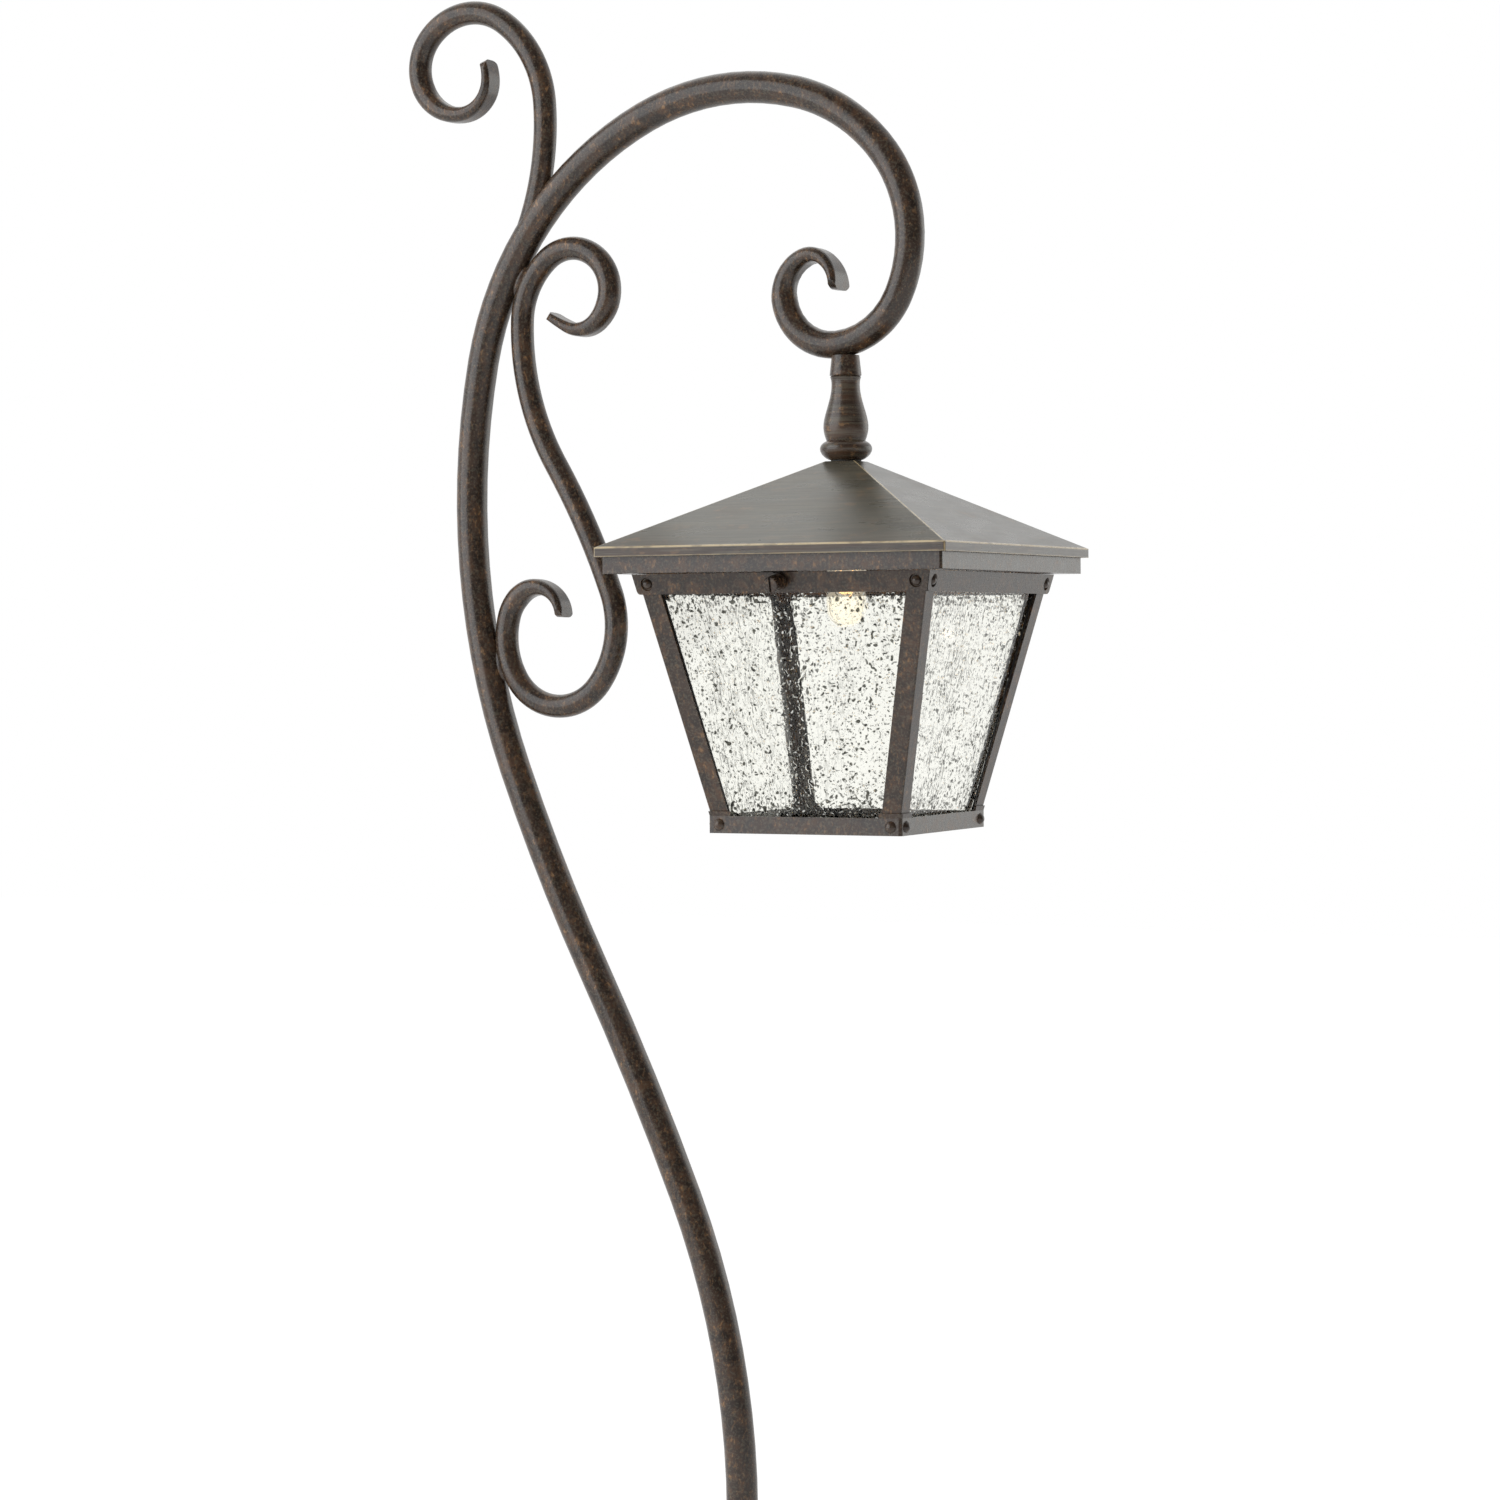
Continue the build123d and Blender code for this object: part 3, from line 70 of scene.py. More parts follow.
# %% [markdown]
# ## Where the lantern hangs
#
# The dressing has to meet the solids exactly. Places could be typed in, but they come from the
# solids' own boxes here, and only the few sizes that a box can't tell, such as the height of the
# roof's turned-down lip, are written out. The roof is centred on the lantern's axis, its eave is the
# top of that lip, and the posts run between the foot tray and the top bands.

# %% Key places
LIP_HEIGHT = 3.6 * MM


def corners(name):
    """The lowest and the highest corner of a solid's box."""
    return [Vector(corner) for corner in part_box(name)]


roof_low, roof_high = corners("roof_cap")
foot_low, foot_high = corners("cage_foot")
band_low = corners("top_band_front")[0]
axis_x = ((roof_low + roof_high) / 2).x
eave = roof_low.z + LIP_HEIGHT
roof_half = (roof_high.x - roof_low.x) / 2
print("axis", round(axis_x, 4), "eave", round(eave, 4), "roof half", round(roof_half, 4))

# %% [markdown]
# ## The camera
#
# A product camera stands a metre and a half away, at the height of the glass, and about 26 degrees
# round from the lantern's front, so that two panes show. A short lens close by would do too, but it
# would bend the stem and swell the near post, so this one is long. A camera that tips down makes
# upright posts lean together, so it tips by less than a degree, and a small shift of its lens brings
# the lantern to its place in the frame. It rolls a little, as a hand-levelled tripod does.

# %% Camera
TURN = radians(26.16)
DISTANCE = 1.491
SIDE_STEP = 0.0385
EYE_HEIGHT = 0.3720
LENS = 90.67
SENSOR = 36
NEAREST = 0.05
LENS_SHIFT = -0.040
TIP_DOWN = radians(0.64)
ROLL = radians(-0.37)

to_camera = Vector((sin(TURN), -cos(TURN), 0))
camera_right = Vector((cos(TURN), sin(TURN), 0))
camera = bpy.data.objects.new("camera", bpy.data.cameras.new("camera"))
bpy.context.scene.collection.objects.link(camera)
camera.data.sensor_width = SENSOR
camera.data.lens = LENS
camera.data.shift_y = LENS_SHIFT
camera.data.clip_start = NEAREST
camera.location = Vector((axis_x, 0, EYE_HEIGHT)) + to_camera * DISTANCE - camera_right * SIDE_STEP
level = Matrix((camera_right, Vector((0, 0, 1)), to_camera)).transposed()
aim = level @ Matrix.Rotation(-TIP_DOWN, 3, "X") @ Matrix.Rotation(ROLL, 3, "Z")
camera.rotation_euler = aim.to_euler()
bpy.context.scene.camera = camera
bpy.context.scene.view_settings.view_transform = "Standard"
print("camera", [round(value, 3) for value in camera.location])

# %% [markdown]
# ## Shader maths as sums
#
# A shader is a graph, and a graph written node by node is hard to read. `Wire` holds one output
# socket, and its operators add Math nodes, so that a mask can be written as a sum. `past` and
# `under` turn a smooth value into a mask with a soft edge.

# %% Wire
class Wire:
    """An output socket that can be added, multiplied and turned into a mask."""

    def __init__(self, paint, socket):
        self.paint = paint
        self.socket = socket

    def maths(self, operation, first, second=0.0):
        return self.paint.node("Math", {"operation": operation}, {0: first, 1: second})

    def __add__(self, other):
        return self.maths("ADD", self, other)

    def __sub__(self, other):
        return self.maths("SUBTRACT", self, other)

    def __rsub__(self, other):
        return self.maths("SUBTRACT", other, self)

    def __mul__(self, other):
        return self.maths("MULTIPLY", self, other)

    def __abs__(self):
        return self.maths("ABSOLUTE", self)

    def __or__(self, other):
        return self.maths("MAXIMUM", self, other)

    def past(self, edge, softness):
        """0 below an edge and 1 above it, blended over a softness."""
        values = {0: self, 1: edge - softness / 2, 2: edge + softness / 2, 3: 0.0, 4: 1.0}
        return self.paint.node("MapRange", {"interpolation_type": "SMOOTHSTEP"}, values)

    def under(self, edge, softness):
        return 1 - self.past(edge, softness)

    __radd__ = __add__
    __rmul__ = __mul__


print("a Wire takes + - * | and abs, and makes masks with past and under")

# %% [markdown]
# ## One class for every material
#
# `Paint` holds a material or the world, and its method `node` makes any node: first its settings,
# then its sockets. The other methods only name the nodes that the finishes share, such as a noise of
# a given size. Patterns read Object coordinates, because every piece has its place in its mesh, so a
# cloud of wear runs on from one piece to the next, as it does when the whole thing is painted at once.

# %% Paint
class Paint:
    """A material, or the world, being painted."""

    def __init__(self, name, world=False):
        kind = bpy.data.worlds if world else bpy.data.materials
        self.made = kind.new(name)
        self.made.use_nodes = True
        self.tree = self.made.node_tree
        self.tree.nodes.clear()
        self.world = world
        self.place = None if world else self.node("TexCoord", out="Object")

    def node(self, kind, settings=None, sockets=None, out=0):
        made = self.tree.nodes.new("ShaderNode" + kind)
        for name, value in (settings or {}).items():
            setattr(made, name, value)
        for name, value in (sockets or {}).items():
            if isinstance(value, Wire):
                self.tree.links.new(value.socket, made.inputs[name])
            else:
                made.inputs[name].default_value = value
        return Wire(self, made.outputs[out])

    def axes(self):
        split = self.node("SeparateXYZ", None, {0: self.place}).socket.node
        return [Wire(self, split.outputs[index]) for index in range(3)]

    def noise(self, size, detail=3.0, rough=0.55, stretch=(1, 1, 1), shift=0.0):
        """Cloudy noise whose spots are about one size across, stretched along an axis if asked."""
        scale = tuple(1 / share for share in stretch)
        values = {"Vector": self.place, "Location": (shift,) * 3, "Scale": scale}
        moved = self.node("Mapping", None, values)
        values = {"Vector": moved, "Scale": 1 / size, "Detail": detail, "Roughness": rough}
        return self.node("TexNoise", None, values)

    def mix(self, first, second, share):
        """Two colours, blended by a share."""
        return self.node("Mix", {"data_type": "RGBA"}, {0: share, 6: first, 7: second}, out=2)

    def bump(self, height, depth, strength):
        return self.node("Bump", None, {"Height": height, "Distance": depth, "Strength": strength})

    def principled(self, **sockets):
        named = {name.replace("_", " "): value for name, value in sockets.items()}
        return self.node("BsdfPrincipled", None, named)

    def seen(self):
        """1 for the rays that see a thing directly, in a reflection or through glass."""
        kinds = ("Is Camera Ray", "Is Glossy Ray", "Is Transmission Ray")
        camera_ray, glossy, through = (self.node("LightPath", out=kind) for kind in kinds)
        return camera_ray | glossy | through

    def finish(self, surface):
        """Joins a shader to the output, and gives back what was painted."""
        kind = "World" if self.world else "Material"
        end = self.tree.nodes.new("ShaderNodeOutput" + kind)
        self.tree.links.new(surface.socket, end.inputs["Surface"])
        return self.made


print("a Paint makes nodes for a material or for the world")

# %% [markdown]
# ## Colours as they are seen
#
# A paint is matched on the uneven scale of a screen, while a shader counts light. The two differ most
# in the darks, where this lantern's bronze lies. Values could be turned over by hand for each colour,
# but `tone` does it for all of them.

# %% Tone
def tone(red, green, blue):
    """A screen colour from 0 to 255, as the linear values that a shader takes."""
    linear = []
    for value in (red, green, blue):
        share = value / 255
        linear.append(share / 12.92 if share <= 0.04045 else ((share + 0.055) / 1.055) ** 2.4)
    return (*linear, 1.0)


print("a mid grey is", round(tone(128, 128, 128)[0], 3), "to a shader")

# %% [markdown]
# ## Rubbed bronze paint
#
# The metalwork is sprayed a deep umber, and then rubbed back by hand, so that rust shows in patches,
# copper in flecks and old gold along the edges. It could be one brown with noise on it, but real
# rubbing has three scales: clouds as wide as a thumb, blotches of a few millimetres, and flecks of
# about one. Each scale is a noise of its own here. The paint is a plain lacquer, not bare metal, so
# Metallic stays at 0 and the pale sheen at its edges comes from the white room.

# %% Bronze
UMBER = tone(62, 47, 38)
SOOT = tone(40, 31, 26)
RUST = tone(90, 64, 44)
COPPER = tone(160, 122, 84)
OLD_GOLD = tone(214, 192, 150)
DUST = tone(104, 98, 84)
# Grey-green painted sheen, laid on the roof's slopes for the pale reflection of the room above.
SHEEN_GREY_GREEN = tone(86, 84, 74)

CLOUD = 30 * MM
BLOTCH = 5.2 * MM
FLECK = 1.3 * MM
HAIR = 0.9 * MM
TOOL_LINE = 0.42 * MM
HAIR_STRETCH = 6
ROUND_THE_AXIS = (60, 60, 1)
PAINT_RELIEF = 0.09 * MM
LACQUER_INDEX = 1.5


def bronze(name, grain=(1, 1, 1), rubbed=0.65, gloss=0.27, worn=None, lined=0.0, painted_sheen=None):
    """Rubbed bronze.

    grain stretches its marks, lined adds the fine lines of turning or brushing, worn is a mask of
    where it is bare, and the other mask says where a grey-green painted sheen stands in for a
    reflection.
    """
    paint = Paint(name)
    wide, deep, tall = grain
    drawn_out = tuple(HAIR_STRETCH * share if share > 1 else share for share in grain)
    clouds = paint.noise(CLOUD, 2.0, shift=3.1)
    blotches = paint.noise(BLOTCH, 5.0, 0.62, grain)
    flecks = paint.noise(FLECK, 2.0, 0.65, (wide, deep, 2 * tall), 7.7)
    hairs = paint.noise(HAIR, 2.0, 0.5, drawn_out, 1.9)
    rub = blotches.past(0.55, 0.12) * clouds.past(0.46, 0.22)
    colour = paint.mix(UMBER, SOOT, blotches.under(0.45, 0.14) * 0.8)
    # Painted sheen: where the mask asks, the colour turns grey-green, standing in for a pale
    # reflection.
    if painted_sheen is not None:
        colour = paint.mix(colour, SHEEN_GREY_GREEN, painted_sheen(paint) * (blotches * 0.6 + 0.5))
    colour = paint.mix(colour, RUST, rub * rubbed)
    colour = paint.mix(colour, DUST, hairs.past(0.56, 0.08) * 0.38)
    colour = paint.mix(colour, COPPER, flecks.past(0.61, 0.07) * (rub * 0.7 + 0.3) * rubbed)
    height = blotches * 0.4 + flecks * 0.6
    if lined:
        lines = paint.noise(TOOL_LINE, 2.0, 0.6, ROUND_THE_AXIS, 5.3)
        colour = paint.mix(colour, DUST, lines.past(0.54, 0.18) * lined)
        height = height + lines * lined * 2
    rough = gloss + blotches * 0.20 - 0.10
    if worn is not None:
        bare = worn(paint)
        colour = paint.mix(colour, OLD_GOLD, bare)
        rough = rough - bare * 0.06
    surface = paint.principled(
        Base_Color=colour,
        Roughness=rough,
        IOR=LACQUER_INDEX,
        Normal=paint.bump(height, PAINT_RELIEF, 0.55),
    )
    return paint.finish(surface)


painted = bronze("bronze_paint")
turned_paint = bronze("bronze_turned", grain=(3, 3, 1), rubbed=0.6, lined=0.35)
print("bronze", painted.name, len(painted.node_tree.nodes), "nodes")

# %% [markdown]
# ## Gold where hands and cloths reach
#
# Folded sheet wears first along its arrises: the four hips of the roof and both edges of its lip.
# Wear could be found by a Bevel node, which compares the surface with a rounded one, but the folds
# of a square roof are simply where the distances along X and Y are equal. That is a sum on Object
# coordinates, it costs nothing to render, and it stays on the fold whatever the view. Each band below
# is a half width and the softness of its edge.

# %% Roof paint
HIP_BAND = (0.42 * MM, 0.5 * MM)
RIM_BAND = (0.38 * MM, 0.4 * MM)
HEM_BAND = (0.35 * MM, 0.4 * MM)
RIM_DEPTH = 0.9 * MM
RIM_BLEND = 0.3 * MM
WEAR_PATCH = 6 * MM
SLOPE_START = (0.6 * MM, 0.6 * MM)


def roof_wear(paint):
    """1 along the hips and the lip's edges, broken up as rubbing is."""
    x, y, z = paint.axes()
    across = abs(x - axis_x)
    along = abs(y)
    hip = abs(across - along).under(*HIP_BAND)
    rim = abs(z - eave).under(*RIM_BAND) * (across | along).past(roof_half - RIM_DEPTH, RIM_BLEND)
    hem = abs(z - roof_low.z).under(*HEM_BAND) * 0.5
    patchy = paint.noise(WEAR_PATCH, 3.0, shift=2.2).past(0.42, 0.25) * 0.55 + 0.45
    return (hip | rim | hem) * patchy * 0.85


def roof_slope_sheen(paint):
    """1 on the four slopes, where a grey-green painted sheen stands in for the room's reflection, and
    0 on the lip.
    """
    height = paint.axes()[2]
    return (height - eave).past(*SLOPE_START)


# The roof's slopes carry a grey-green painted sheen as well as their wear.
roof_paint = bronze(
    "bronze_roof",
    grain=(6, 6, 1),
    rubbed=0.25,
    gloss=0.29,
    worn=roof_wear,
    lined=0.35,
    painted_sheen=roof_slope_sheen,
)
print("roof paint", len(roof_paint.node_tree.nodes), "nodes")

# %% [markdown]
# ## Seeded glass
#
# Seeded glass is full of tiny bubbles, and against a bright sky each one is a dark dot, while against
# a dark post it is a bright one. The bubbles could be modelled, thousands to a pane, but they would
# cost more than the whole lantern, so sparse noises on the pane's faces do it instead. The dark dots
# are painted shade: seeds and finer specks darken the glass's own colour, where real bubbles would
# show dark only by bending the light, and they crowd a little towards its upper and lower edge. A
# froth frosts it, and so shows pale before a post. Drawn sheet also has faint upright lines, a noise
# stretched along Z and broken up into lanes, which show most on the two side panes. Seeds, ripples
# and lines together make the bump that bends what is behind. The refractive index is lower than real
# glass has, so that the panes' own reflections don't hide the seeds.

# %% Glass
SEED = 1.90 * MM
FINE_SEED_SHADE = 1.25 * MM
FROTH_SPECK = 1.40 * MM
DRAW_LINE = 1.2 * MM
LANE = 14 * MM
RIPPLE = 4.5 * MM
CROWDED = (7 * MM, 12 * MM)
GLASS_RELIEF = 0.09 * MM
GLASS_INDEX = 1.25

pane_middle = (foot_high.z + band_low.z) / 2
pane_half = (band_low.z - foot_high.z) / 2


def seeded_glass():
    """Clear glass with painted dark seeds, pale froth, upright lines and a slight ripple."""
    paint = Paint("seeded_glass")
    x, y, z = paint.axes()
    side_pane = (abs(x - axis_x) - abs(y)).past(0.0, 1 * MM)
    seeds = paint.noise(SEED, 0.0, 0.5, shift=4.0)
    fine_seed_shade = paint.noise(FINE_SEED_SHADE, 0.0, 0.5, shift=7.0)
    froth = paint.noise(FROTH_SPECK, 0.0, 0.5, shift=9.0)
    draw_lines = paint.noise(DRAW_LINE, 1.0, 0.5, (1, 1, 26), 6.0)
    lanes = paint.noise(LANE, 1.0, 0.5, (1, 1, 8), 1.0)
    ripple = paint.noise(RIPPLE, 2.0, 0.5, (1, 1, 2), 2.0)
    streaks = draw_lines.past(0.64, 0.06) * lanes.past(0.50, 0.12) * (side_pane * 0.5 + 0.3)
    inset, blend = CROWDED
    edge = abs(z - pane_middle).past(pane_half - inset, blend) * 0.05
    # The dark seeds and finer specks are painted shade in the glass's own colour.
    dark = (seeds + edge).past(0.755, 0.05) | ((fine_seed_shade + edge).past(0.760, 0.05) * 0.9) | streaks
    clear = tone(253, 253, 249)
    seed_shade_tone = tone(30, 30, 25)
    colour = paint.mix(clear, seed_shade_tone, dark)
    height = seeds.past(0.70, 0.1) * 0.8 + ripple * 0.9 + draw_lines * 0.15
    normal = paint.bump(height, GLASS_RELIEF, 0.5)
    glass = paint.principled(
        Base_Color=colour, Roughness=0.0, IOR=GLASS_INDEX, Transmission_Weight=1.0, Normal=normal
    )
    frost = paint.principled(Base_Color=tone(236, 236, 230), Roughness=0.45, Normal=normal)
    surface = paint.node("MixShader", None, {0: froth.past(0.765, 0.04) * 0.8, 1: glass, 2: frost})
    return paint.finish(surface)


pane_glass = seeded_glass()
print("glass", len(pane_glass.node_tree.nodes), "nodes")

# %% [markdown]
# ## The plain materials
#
# The rest is small and mostly hidden: plated screws, spring brass, moulded black plastic, rubber,
# brown phenolic, insulated leads and sealant. A single flat colour would do in the dark of the roof,
# but it looks like a placeholder as soon as the cage is dropped for a new lamp, so each gets two
# close tones and a grain of its own size.

# %% Plain materials
def moulded(name, colour, other, size, gloss, depth, **extra):
    """A moulded or plated finish: two close tones, and a grain of one size."""
    paint = Paint(name)
    tint = paint.noise(size * 6, 3.0)
    grain = paint.noise(size, 2.0, shift=5.0)
    surface = paint.principled(
        Base_Color=paint.mix(colour, other, tint.past(0.5, 0.3)),
        Roughness=gloss + grain * 0.14,
        Normal=paint.bump(grain, depth, 0.5),
        **extra,
    )
    return paint.finish(surface)


plated = moulded(
    "zinc_plate", tone(176, 174, 168), tone(150, 147, 140),
    size=0.0006, gloss=0.24, depth=0.00003, Metallic=1.0,
)
spring_brass = moulded(
    "spring_brass", tone(190, 158, 96), tone(160, 128, 74),
    size=0.0005, gloss=0.22, depth=0.00002, Metallic=1.0,
)
spike_plastic = moulded(
    "spike_plastic", tone(40, 40, 41), tone(52, 52, 52),
    size=0.0008, gloss=0.48, depth=0.00012,
)
rubber = moulded(
    "rubber", tone(26, 26, 27), tone(38, 37, 36),
    size=0.0007, gloss=0.62, depth=0.00004,
)
phenolic = moulded(
    "phenolic", tone(48, 34, 28), tone(30, 24, 22),
    size=0.0011, gloss=0.26, depth=0.00002,
)
insulation = moulded(
    "lead_insulation", tone(30, 29, 29), tone(58, 36, 27),
    size=0.0012, gloss=0.40, depth=0.00002,
)
sealant = moulded(
    "black_sealant", tone(18, 18, 18), tone(30, 29, 28),
    size=0.0008, gloss=0.36, depth=0.00006,
)
print("plain materials", plated.name, spring_brass.name, spike_plastic.name, sealant.name)

# %% [markdown]
# ## The lit lamp
#
# A small filament lamp glows in two ways: its wire is far brighter than anything else, and its clear
# envelope spreads a faint warm haze. A lamp could be given its true strength, but it would burn out
# to a white ball, so the wire and the envelope shine only as much as keeps their colour.

# %% Lamp
ENVELOPE_GLOW = 0.10
ENVELOPE_INDEX = 1.30
WIRE_GLOW = 2.2


def lamp_envelope():
    """Clear lamp glass with a faint smear and a warm haze."""
    paint = Paint("lamp_envelope")
    smear = paint.noise(0.004, 2.0)
    surface = paint.principled(
        Base_Color=paint.mix(tone(252, 250, 244), tone(244, 240, 228), smear),
        Roughness=smear * 0.03,
        IOR=ENVELOPE_INDEX,
        Transmission_Weight=1.0,
        Emission_Color=tone(255, 244, 226),
        Emission_Strength=ENVELOPE_GLOW,
    )
    return paint.finish(surface)


def glowing_wire():
    """Wire at working heat, a little paler where it is hotter."""
    paint = Paint("filament_wire")
    heat = paint.noise(0.0012, 1.0)
    surface = paint.principled(
        Base_Color=tone(120, 104, 92),
        Roughness=0.4,
        Emission_Color=paint.mix(tone(255, 176, 92), tone(255, 206, 140), heat),
        Emission_Strength=WIRE_GLOW,
    )
    return paint.finish(surface)


clear_lamp = lamp_envelope()
hot_wire = glowing_wire()
print("lamp", clear_lamp.name, hot_wire.name)

# %% [markdown]
# ## Which piece wears what
#
# A solid that came from the drawing keeps its mesh and gets its paint through its material slots.
# Each could be set by hand in the editor, but a table from a finish to the pieces that wear it is
# easier to check: every name that it misses is printed, so that nothing is left in plain grey.

# %% Dress the solids
wears = {
    painted: """crook_tube top_scroll s_scroll scroll_welds hanger_boss hub_cap roof_skirt cage_foot
        top_band_front top_band_right top_band_rear top_band_left post_front_left post_front_right
        post_rear_left post_rear_right upper_rivets lower_rivets thumb_screw_front thumb_screw_rear
        screw_washer_front screw_washer_rear pane_clips""",
    turned_paint: "hanger_baluster bead_ring",
    roof_paint: "roof_cap",
    pane_glass: "glass_front glass_right glass_rear glass_left",
    clear_lamp: "lamp_glass",
    plated: """stem_set_screws terminal_screws hanger_nipple nipple_washer nipple_nut strap_locknut
        lamp_strap socket_screw tab_nuts""",
    spring_brass: "socket_contacts",
    spike_plastic: "ground_spike",
    rubber: "cable_grommet hub_seal roof_gasket",
    phenolic: "lamp_socket terminal_block",
    insulation: "internal_leads",
    hot_wire: "lamp_filament",
}
undressed = set(nodes)
for material, names in wears.items():
    for name in names.split():
        mesh = nodes[name].data
        if not mesh.materials:
            mesh.materials.append(material)
        for index in range(len(mesh.materials)):
            mesh.materials[index] = material
        undressed.discard(name)
print("solids left bare:", sorted(undressed) or "none")

# %% [markdown]
# ## Adding a piece
#
# New pieces start as a bmesh, shaped by operators, and are put on the body that they move with. One
# helper does the bookkeeping: it writes the mesh, gives it a material and a name, and lets it ride.
# Normals are recalculated there, because a spin can turn a shape inside out. A second helper lays a
# rod between two points, which serves for the beads of sealant and for the filament's wires.

# %% Piece helpers
SAME_POINT = 1e-7
ROD_ROUNDING = 0.35


def add_piece(name, shape, material, body):
    """Writes a shape as a piece that rides on a body."""
    bmesh.ops.remove_doubles(shape, verts=shape.verts, dist=SAME_POINT)
    bmesh.ops.recalc_face_normals(shape, faces=shape.faces)
    for face in shape.faces:
        face.smooth = True
    mesh = bpy.data.meshes.new(name)
    shape.to_mesh(mesh)
    shape.free()
    mesh.materials.append(material)
    piece = bpy.data.objects.new(name, mesh)
    bpy.context.scene.collection.objects.link(piece)
    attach(piece, body)
    print(name, len(mesh.polygons), "faces")
    return piece


def lay_rod(shape, start, end, radius, sides=10):
    """A rod between two points, with its ends slightly rounded off."""
    along = end - start
    turned = along.to_track_quat("Z", "Y").to_matrix().to_4x4()
    made = bmesh.ops.create_cone(
        shape,
        cap_ends=True,
        segments=sides,
        radius1=radius,
        radius2=radius,
        depth=along.length,
        matrix=Matrix.Translation((start + end) / 2) @ turned,
    )
    rims = {edge for vert in made["verts"] for edge in vert.link_edges if edge.calc_face_angle(0) > 1}
    bmesh.ops.bevel(
        shape,
        geom=list(rims),
        offset=radius * ROD_ROUNDING,
        segments=2,
        profile=0.5,
        affect="EDGES",
        material=-1,
    )


print("helpers ready: add_piece and lay_rod")

# %% [markdown]
# ## Sealant round the panes
#
# A thin black line runs down both sides of each pane, where a bead of sealant fills the corner
# between the glass and the post. It could be painted on the glass, but a bead stands proud and
# catches light, so it is a fine rod laid in that corner. The corner is found from the boxes of the
# solids: a post's flange is eight millimetres wide, and the cage narrows from its bands to its foot.
# The foot's box goes up to the tips of its ears, so the tray's rim is an ear's height lower.

# %% Sealant beads
FLANGE = 8 * MM
GLASS_SETBACK = 1.6 * MM
BEAD = 0.45 * MM
TRAY_SHEET = 0.7 * MM
EAR_HEIGHT = 1.8 * MM
BELOW_EARS = 1 * MM
BEHIND_BAND = 0.4 * MM

post_low, post_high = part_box("post_front_left")


def cage_half(z):
    """Half the width across the posts' faces at a height."""
    low = -foot_low.y - TRAY_SHEET
    high = -post_low[1]
    share = (z - foot_high.z + EAR_HEIGHT) / (post_high[2] - foot_high.z + EAR_HEIGHT)
    return low + (high - low) * share


def turn_about_axis(quarter):
    """Turns a shape by quarter turns about the lantern's axis."""
    there = Matrix.Translation((axis_x, 0, 0))
    return there @ Matrix.Rotation(quarter * pi / 2, 4, "Z") @ there.inverted()


beads = bmesh.new()
pane_foot = foot_high.z - BELOW_EARS
pane_head = band_low.z + BEHIND_BAND
for quarter in range(4):
    for hand in (-1, 1):
        ends = []
        for z in (pane_foot, pane_head):
            half = cage_half(z)
            corner = Vector((axis_x + hand * (half - FLANGE - BEAD * 0.5), GLASS_SETBACK - half, z))
            ends.append(turn_about_axis(quarter) @ corner)
        lay_rod(beads, *ends, BEAD)
add_piece("pane_sealant", beads, sealant, "cage")

# %% [markdown]
# ## The filament
#
# The drawn filament is a plain bar, strong enough for the solids. The real one is a coil of very fine
# wire between two supports. It could be a curve with a round bevel, but spinning a small circle about
# the coil's axis while it moves along makes the helix in one operator. The supports are thin rods.

# %% Filament
WIRE = 0.09 * MM
WIRE_SIDES = 6
COIL = 0.34 * MM
TURNS = 11
STEPS = TURNS * 12
SUPPORT = 0.28 * MM
SUPPORT_SIDES = 8
LEAD = 0.3 * MM

coil_low, coil_high = corners("lamp_filament")
support_x = (coil_high.x - coil_low.x) / 2 - SUPPORT
coil_z = coil_low.z + COIL + WIRE
coil_half = support_x - LEAD
filament = bmesh.new()
start = Vector((axis_x - coil_half, COIL, coil_z))
ring = bmesh.ops.create_circle(
    filament, segments=WIRE_SIDES, radius=WIRE, matrix=Matrix.Translation(start)
)
bmesh.ops.spin(
    filament,
    geom=ring["verts"] + list(filament.edges),
    cent=(axis_x, 0, coil_z),
    axis=(1, 0, 0),
    dvec=(2 * coil_half / STEPS, 0, 0),
    angle=TURNS * 2 * pi,
    steps=STEPS,
)
for side in (-1, 1):
    foot = Vector((axis_x + side * support_x, 0, coil_z))
    head = Vector((foot.x, 0, coil_high.z))
    coil_end = Vector((axis_x + side * coil_half, 0, coil_z))
    lay_rod(filament, head, foot, SUPPORT, SUPPORT_SIDES)
    lay_rod(filament, foot, coil_end, WIRE, WIRE_SIDES)
coil = add_piece("filament_coil", filament, hot_wire, "lamp")
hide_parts("lamp_filament")

# %% [markdown]
# ## The room
#
# Dark lacquer takes most of its look from what it reflects. An even grey room would do for chalk,
# but here the side of the room that the lantern is seen against is white, and so are its flanks, and
# only the front, where the main camera stands, is dim, as a studio is behind its lamps. That keeps
# the near faces deep and draws a pale rim down both edges of every tube. The dim side is a fixed
# direction in the scene, so it stays where it is in every view. Rays that only light the object meet
# a soft light that is the same all round.

# %% World
ROOM_LIGHT = 0.42
DIM_SIDE = 0.10
DIM_WAY = to_camera
DIM_START = 0.10
DIM_BLEND = 0.8
WHITE = (1, 1, 1, 1)
WARM_SHADE = (1.0, 0.96, 0.92, 1)
WARM_WHITE = (1.0, 0.985, 0.96, 1)


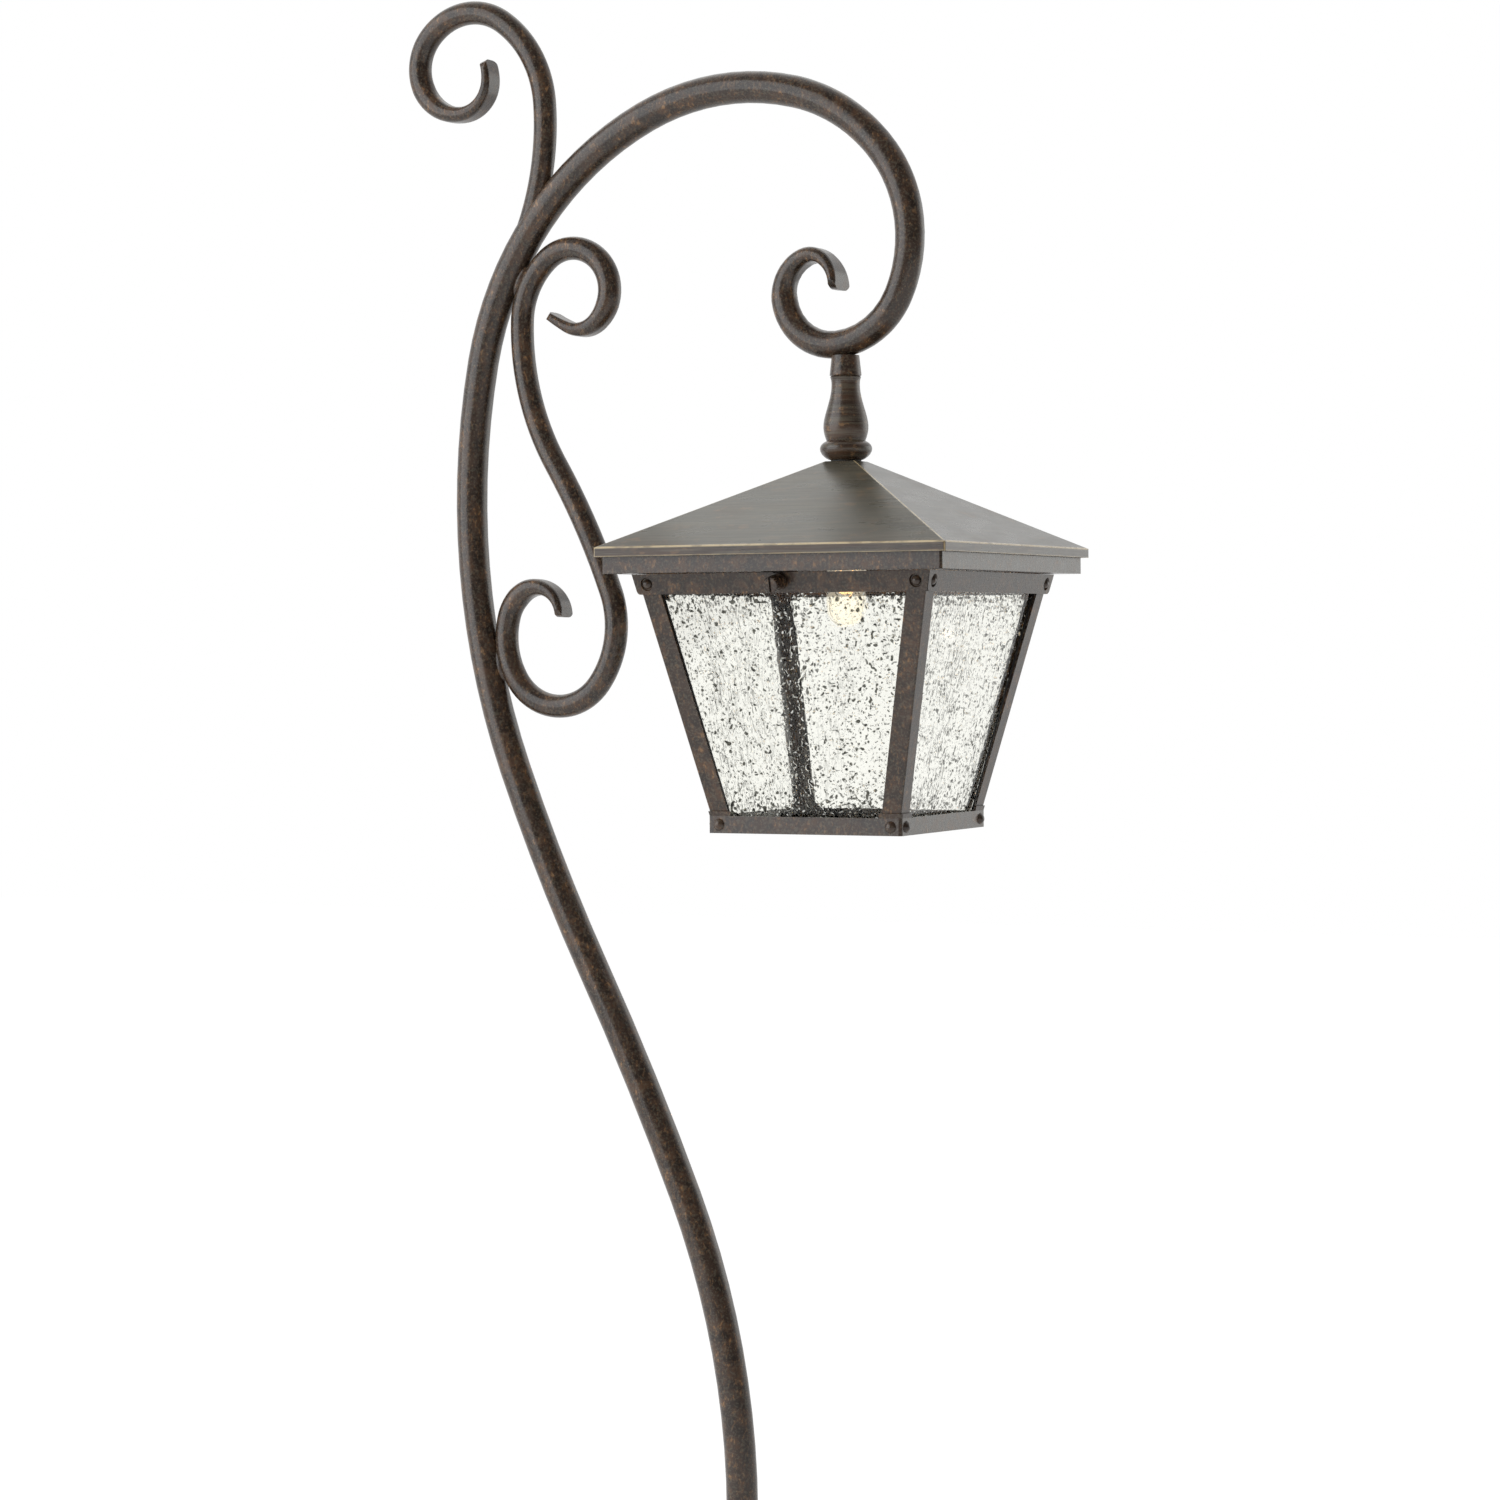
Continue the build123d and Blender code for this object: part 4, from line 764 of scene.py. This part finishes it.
def white_room():
    """White where it is seen, white with one dim side where it is mirrored, and soft elsewhere."""
    room = Paint("white_room", world=True)
    way = room.node("TexCoord", out="Generated")
    toward = room.node("VectorMath", {"operation": "DOT_PRODUCT"}, {0: way, 1: DIM_WAY}, out="Value")
    dim = toward.past(DIM_START, DIM_BLEND)
    reflected = room.node("LightPath", out="Is Glossy Ray")
    straight = room.node("LightPath", out="Is Camera Ray")
    seen = straight | room.node("LightPath", out="Is Transmission Ray")
    white = room.node("Background", None, {"Color": WHITE, "Strength": 1.0})
    shade = room.node("Background", None, {"Color": WARM_SHADE, "Strength": DIM_SIDE})
    soft = room.node("Background", None, {"Color": WARM_WHITE, "Strength": ROOM_LIGHT})
    mirrored = room.node("MixShader", None, {0: dim, 1: white, 2: shade})
    lit = room.node("MixShader", None, {0: reflected, 1: soft, 2: mirrored})
    return room.finish(room.node("MixShader", None, {0: seen, 1: lit, 2: white}))


bpy.context.scene.world = white_room()
print("world", bpy.context.scene.world.name)

# %% [markdown]
# ## The floor
#
# The floor lies just under the spike's tip. A plain white plane would turn grey towards the back and
# show a line where it meets the room. This one gives off most of its own brightness to the rays that
# see it, and adds a weak matt surface to that, so that it still takes the lantern's shadow. To the
# rays that light the lantern it is only a pale matt floor.

# %% Floor
FLOOR_GLOW = 0.90
FLOOR_HALF = 6
FLOOR_GAP = 0.5 * MM

pale = Paint("pale_floor")
matt = pale.node("BsdfDiffuse", None, {"Color": tone(224, 223, 220)})
catch = pale.node("BsdfDiffuse", None, {"Color": tone(140, 140, 140)})
glow = pale.node("Emission", None, {"Color": WHITE, "Strength": FLOOR_GLOW})
lit = pale.node("AddShader", None, {0: glow, 1: catch})
pale.finish(pale.node("MixShader", None, {0: pale.seen(), 1: matt, 2: lit}))

ground = bmesh.new()
bmesh.ops.create_grid(ground, x_segments=1, y_segments=1, size=FLOOR_HALF)
bmesh.ops.translate(ground, verts=ground.verts, vec=(0, 0, solid_box[0][2] - FLOOR_GAP))
floor_mesh = bpy.data.meshes.new("floor")
ground.to_mesh(floor_mesh)
ground.free()
floor_mesh.materials.append(pale.made)
floor = bpy.data.objects.new("floor", floor_mesh)
bpy.context.scene.collection.objects.link(floor)
print("floor at", round(solid_box[0][2], 4))

# %% [markdown]
# ## The softboxes
#
# One large softbox to the left of the camera lays a cool sheen on the faces that look that way. Two
# weak ones stand behind the lantern, one on the right and one high on the left, and keep the tubes
# round and the roof's slopes apart. Behind clear glass they would show as bright squares, so they
# are hidden from rays that come straight or through glass, and only light and gloss know them.

# %% Softboxes
COOL = (0.94, 0.97, 1.0)
GREENISH = (0.98, 1.0, 0.96)

heart = Vector((axis_x, 0, eave))


def softbox(name, offset, width, height, power, colour):
    """A rectangular lamp that faces the lantern's heart, and isn't seen through the glass."""
    light = bpy.data.lights.new(name, "AREA")
    light.shape = "RECTANGLE"
    light.size = width
    light.size_y = height
    light.energy = power
    light.color = colour
    place = heart + Vector(offset)
    lamp = bpy.data.objects.new(name, light)
    lamp.location = place
    lamp.rotation_euler = (heart - place).to_track_quat("-Z", "Y").to_euler()
    lamp.visible_camera = False
    lamp.visible_transmission = False
    bpy.context.scene.collection.objects.link(lamp)


softbox("left_softbox", (-1.2, -1.35, 0.55), 1.9, 1.9, 29, COOL)
softbox("right_softbox", (1.1, 1.6, 0.25), 1.3, 1.0, 4.5, GREENISH)
softbox("top_softbox", (-0.7, 1.2, 1.6), 1.9, 1.4, 5, GREENISH)

# %% [markdown]
# ## Warm light in the cage
#
# The lit filament warms the inside of the roof and the froth in the glass, but its wire is far too
# small to light them without grain. A tiny point lamp does it instead. It stands just behind the
# lantern's axis and above the front band's lower edge, where the band hides it from the camera.

# %% Warm lamp
WARM_POWER = 0.06
WARM = (1.0, 0.66, 0.36)
WARM_SIZE = 2 * MM
BEHIND_AXIS = 12 * MM
ABOVE_BAND = 4 * MM

warm_light = bpy.data.lights.new("lamp_light", "POINT")
warm_light.shadow_soft_size = WARM_SIZE
warm_light.energy = WARM_POWER
warm_light.color = WARM
warm_lamp = bpy.data.objects.new("lamp_light", warm_light)
warm_lamp.location = (axis_x, BEHIND_AXIS, band_low.z + ABOVE_BAND)
bpy.context.scene.collection.objects.link(warm_lamp)
print("warm lamp at", [round(value, 3) for value in warm_lamp.location])
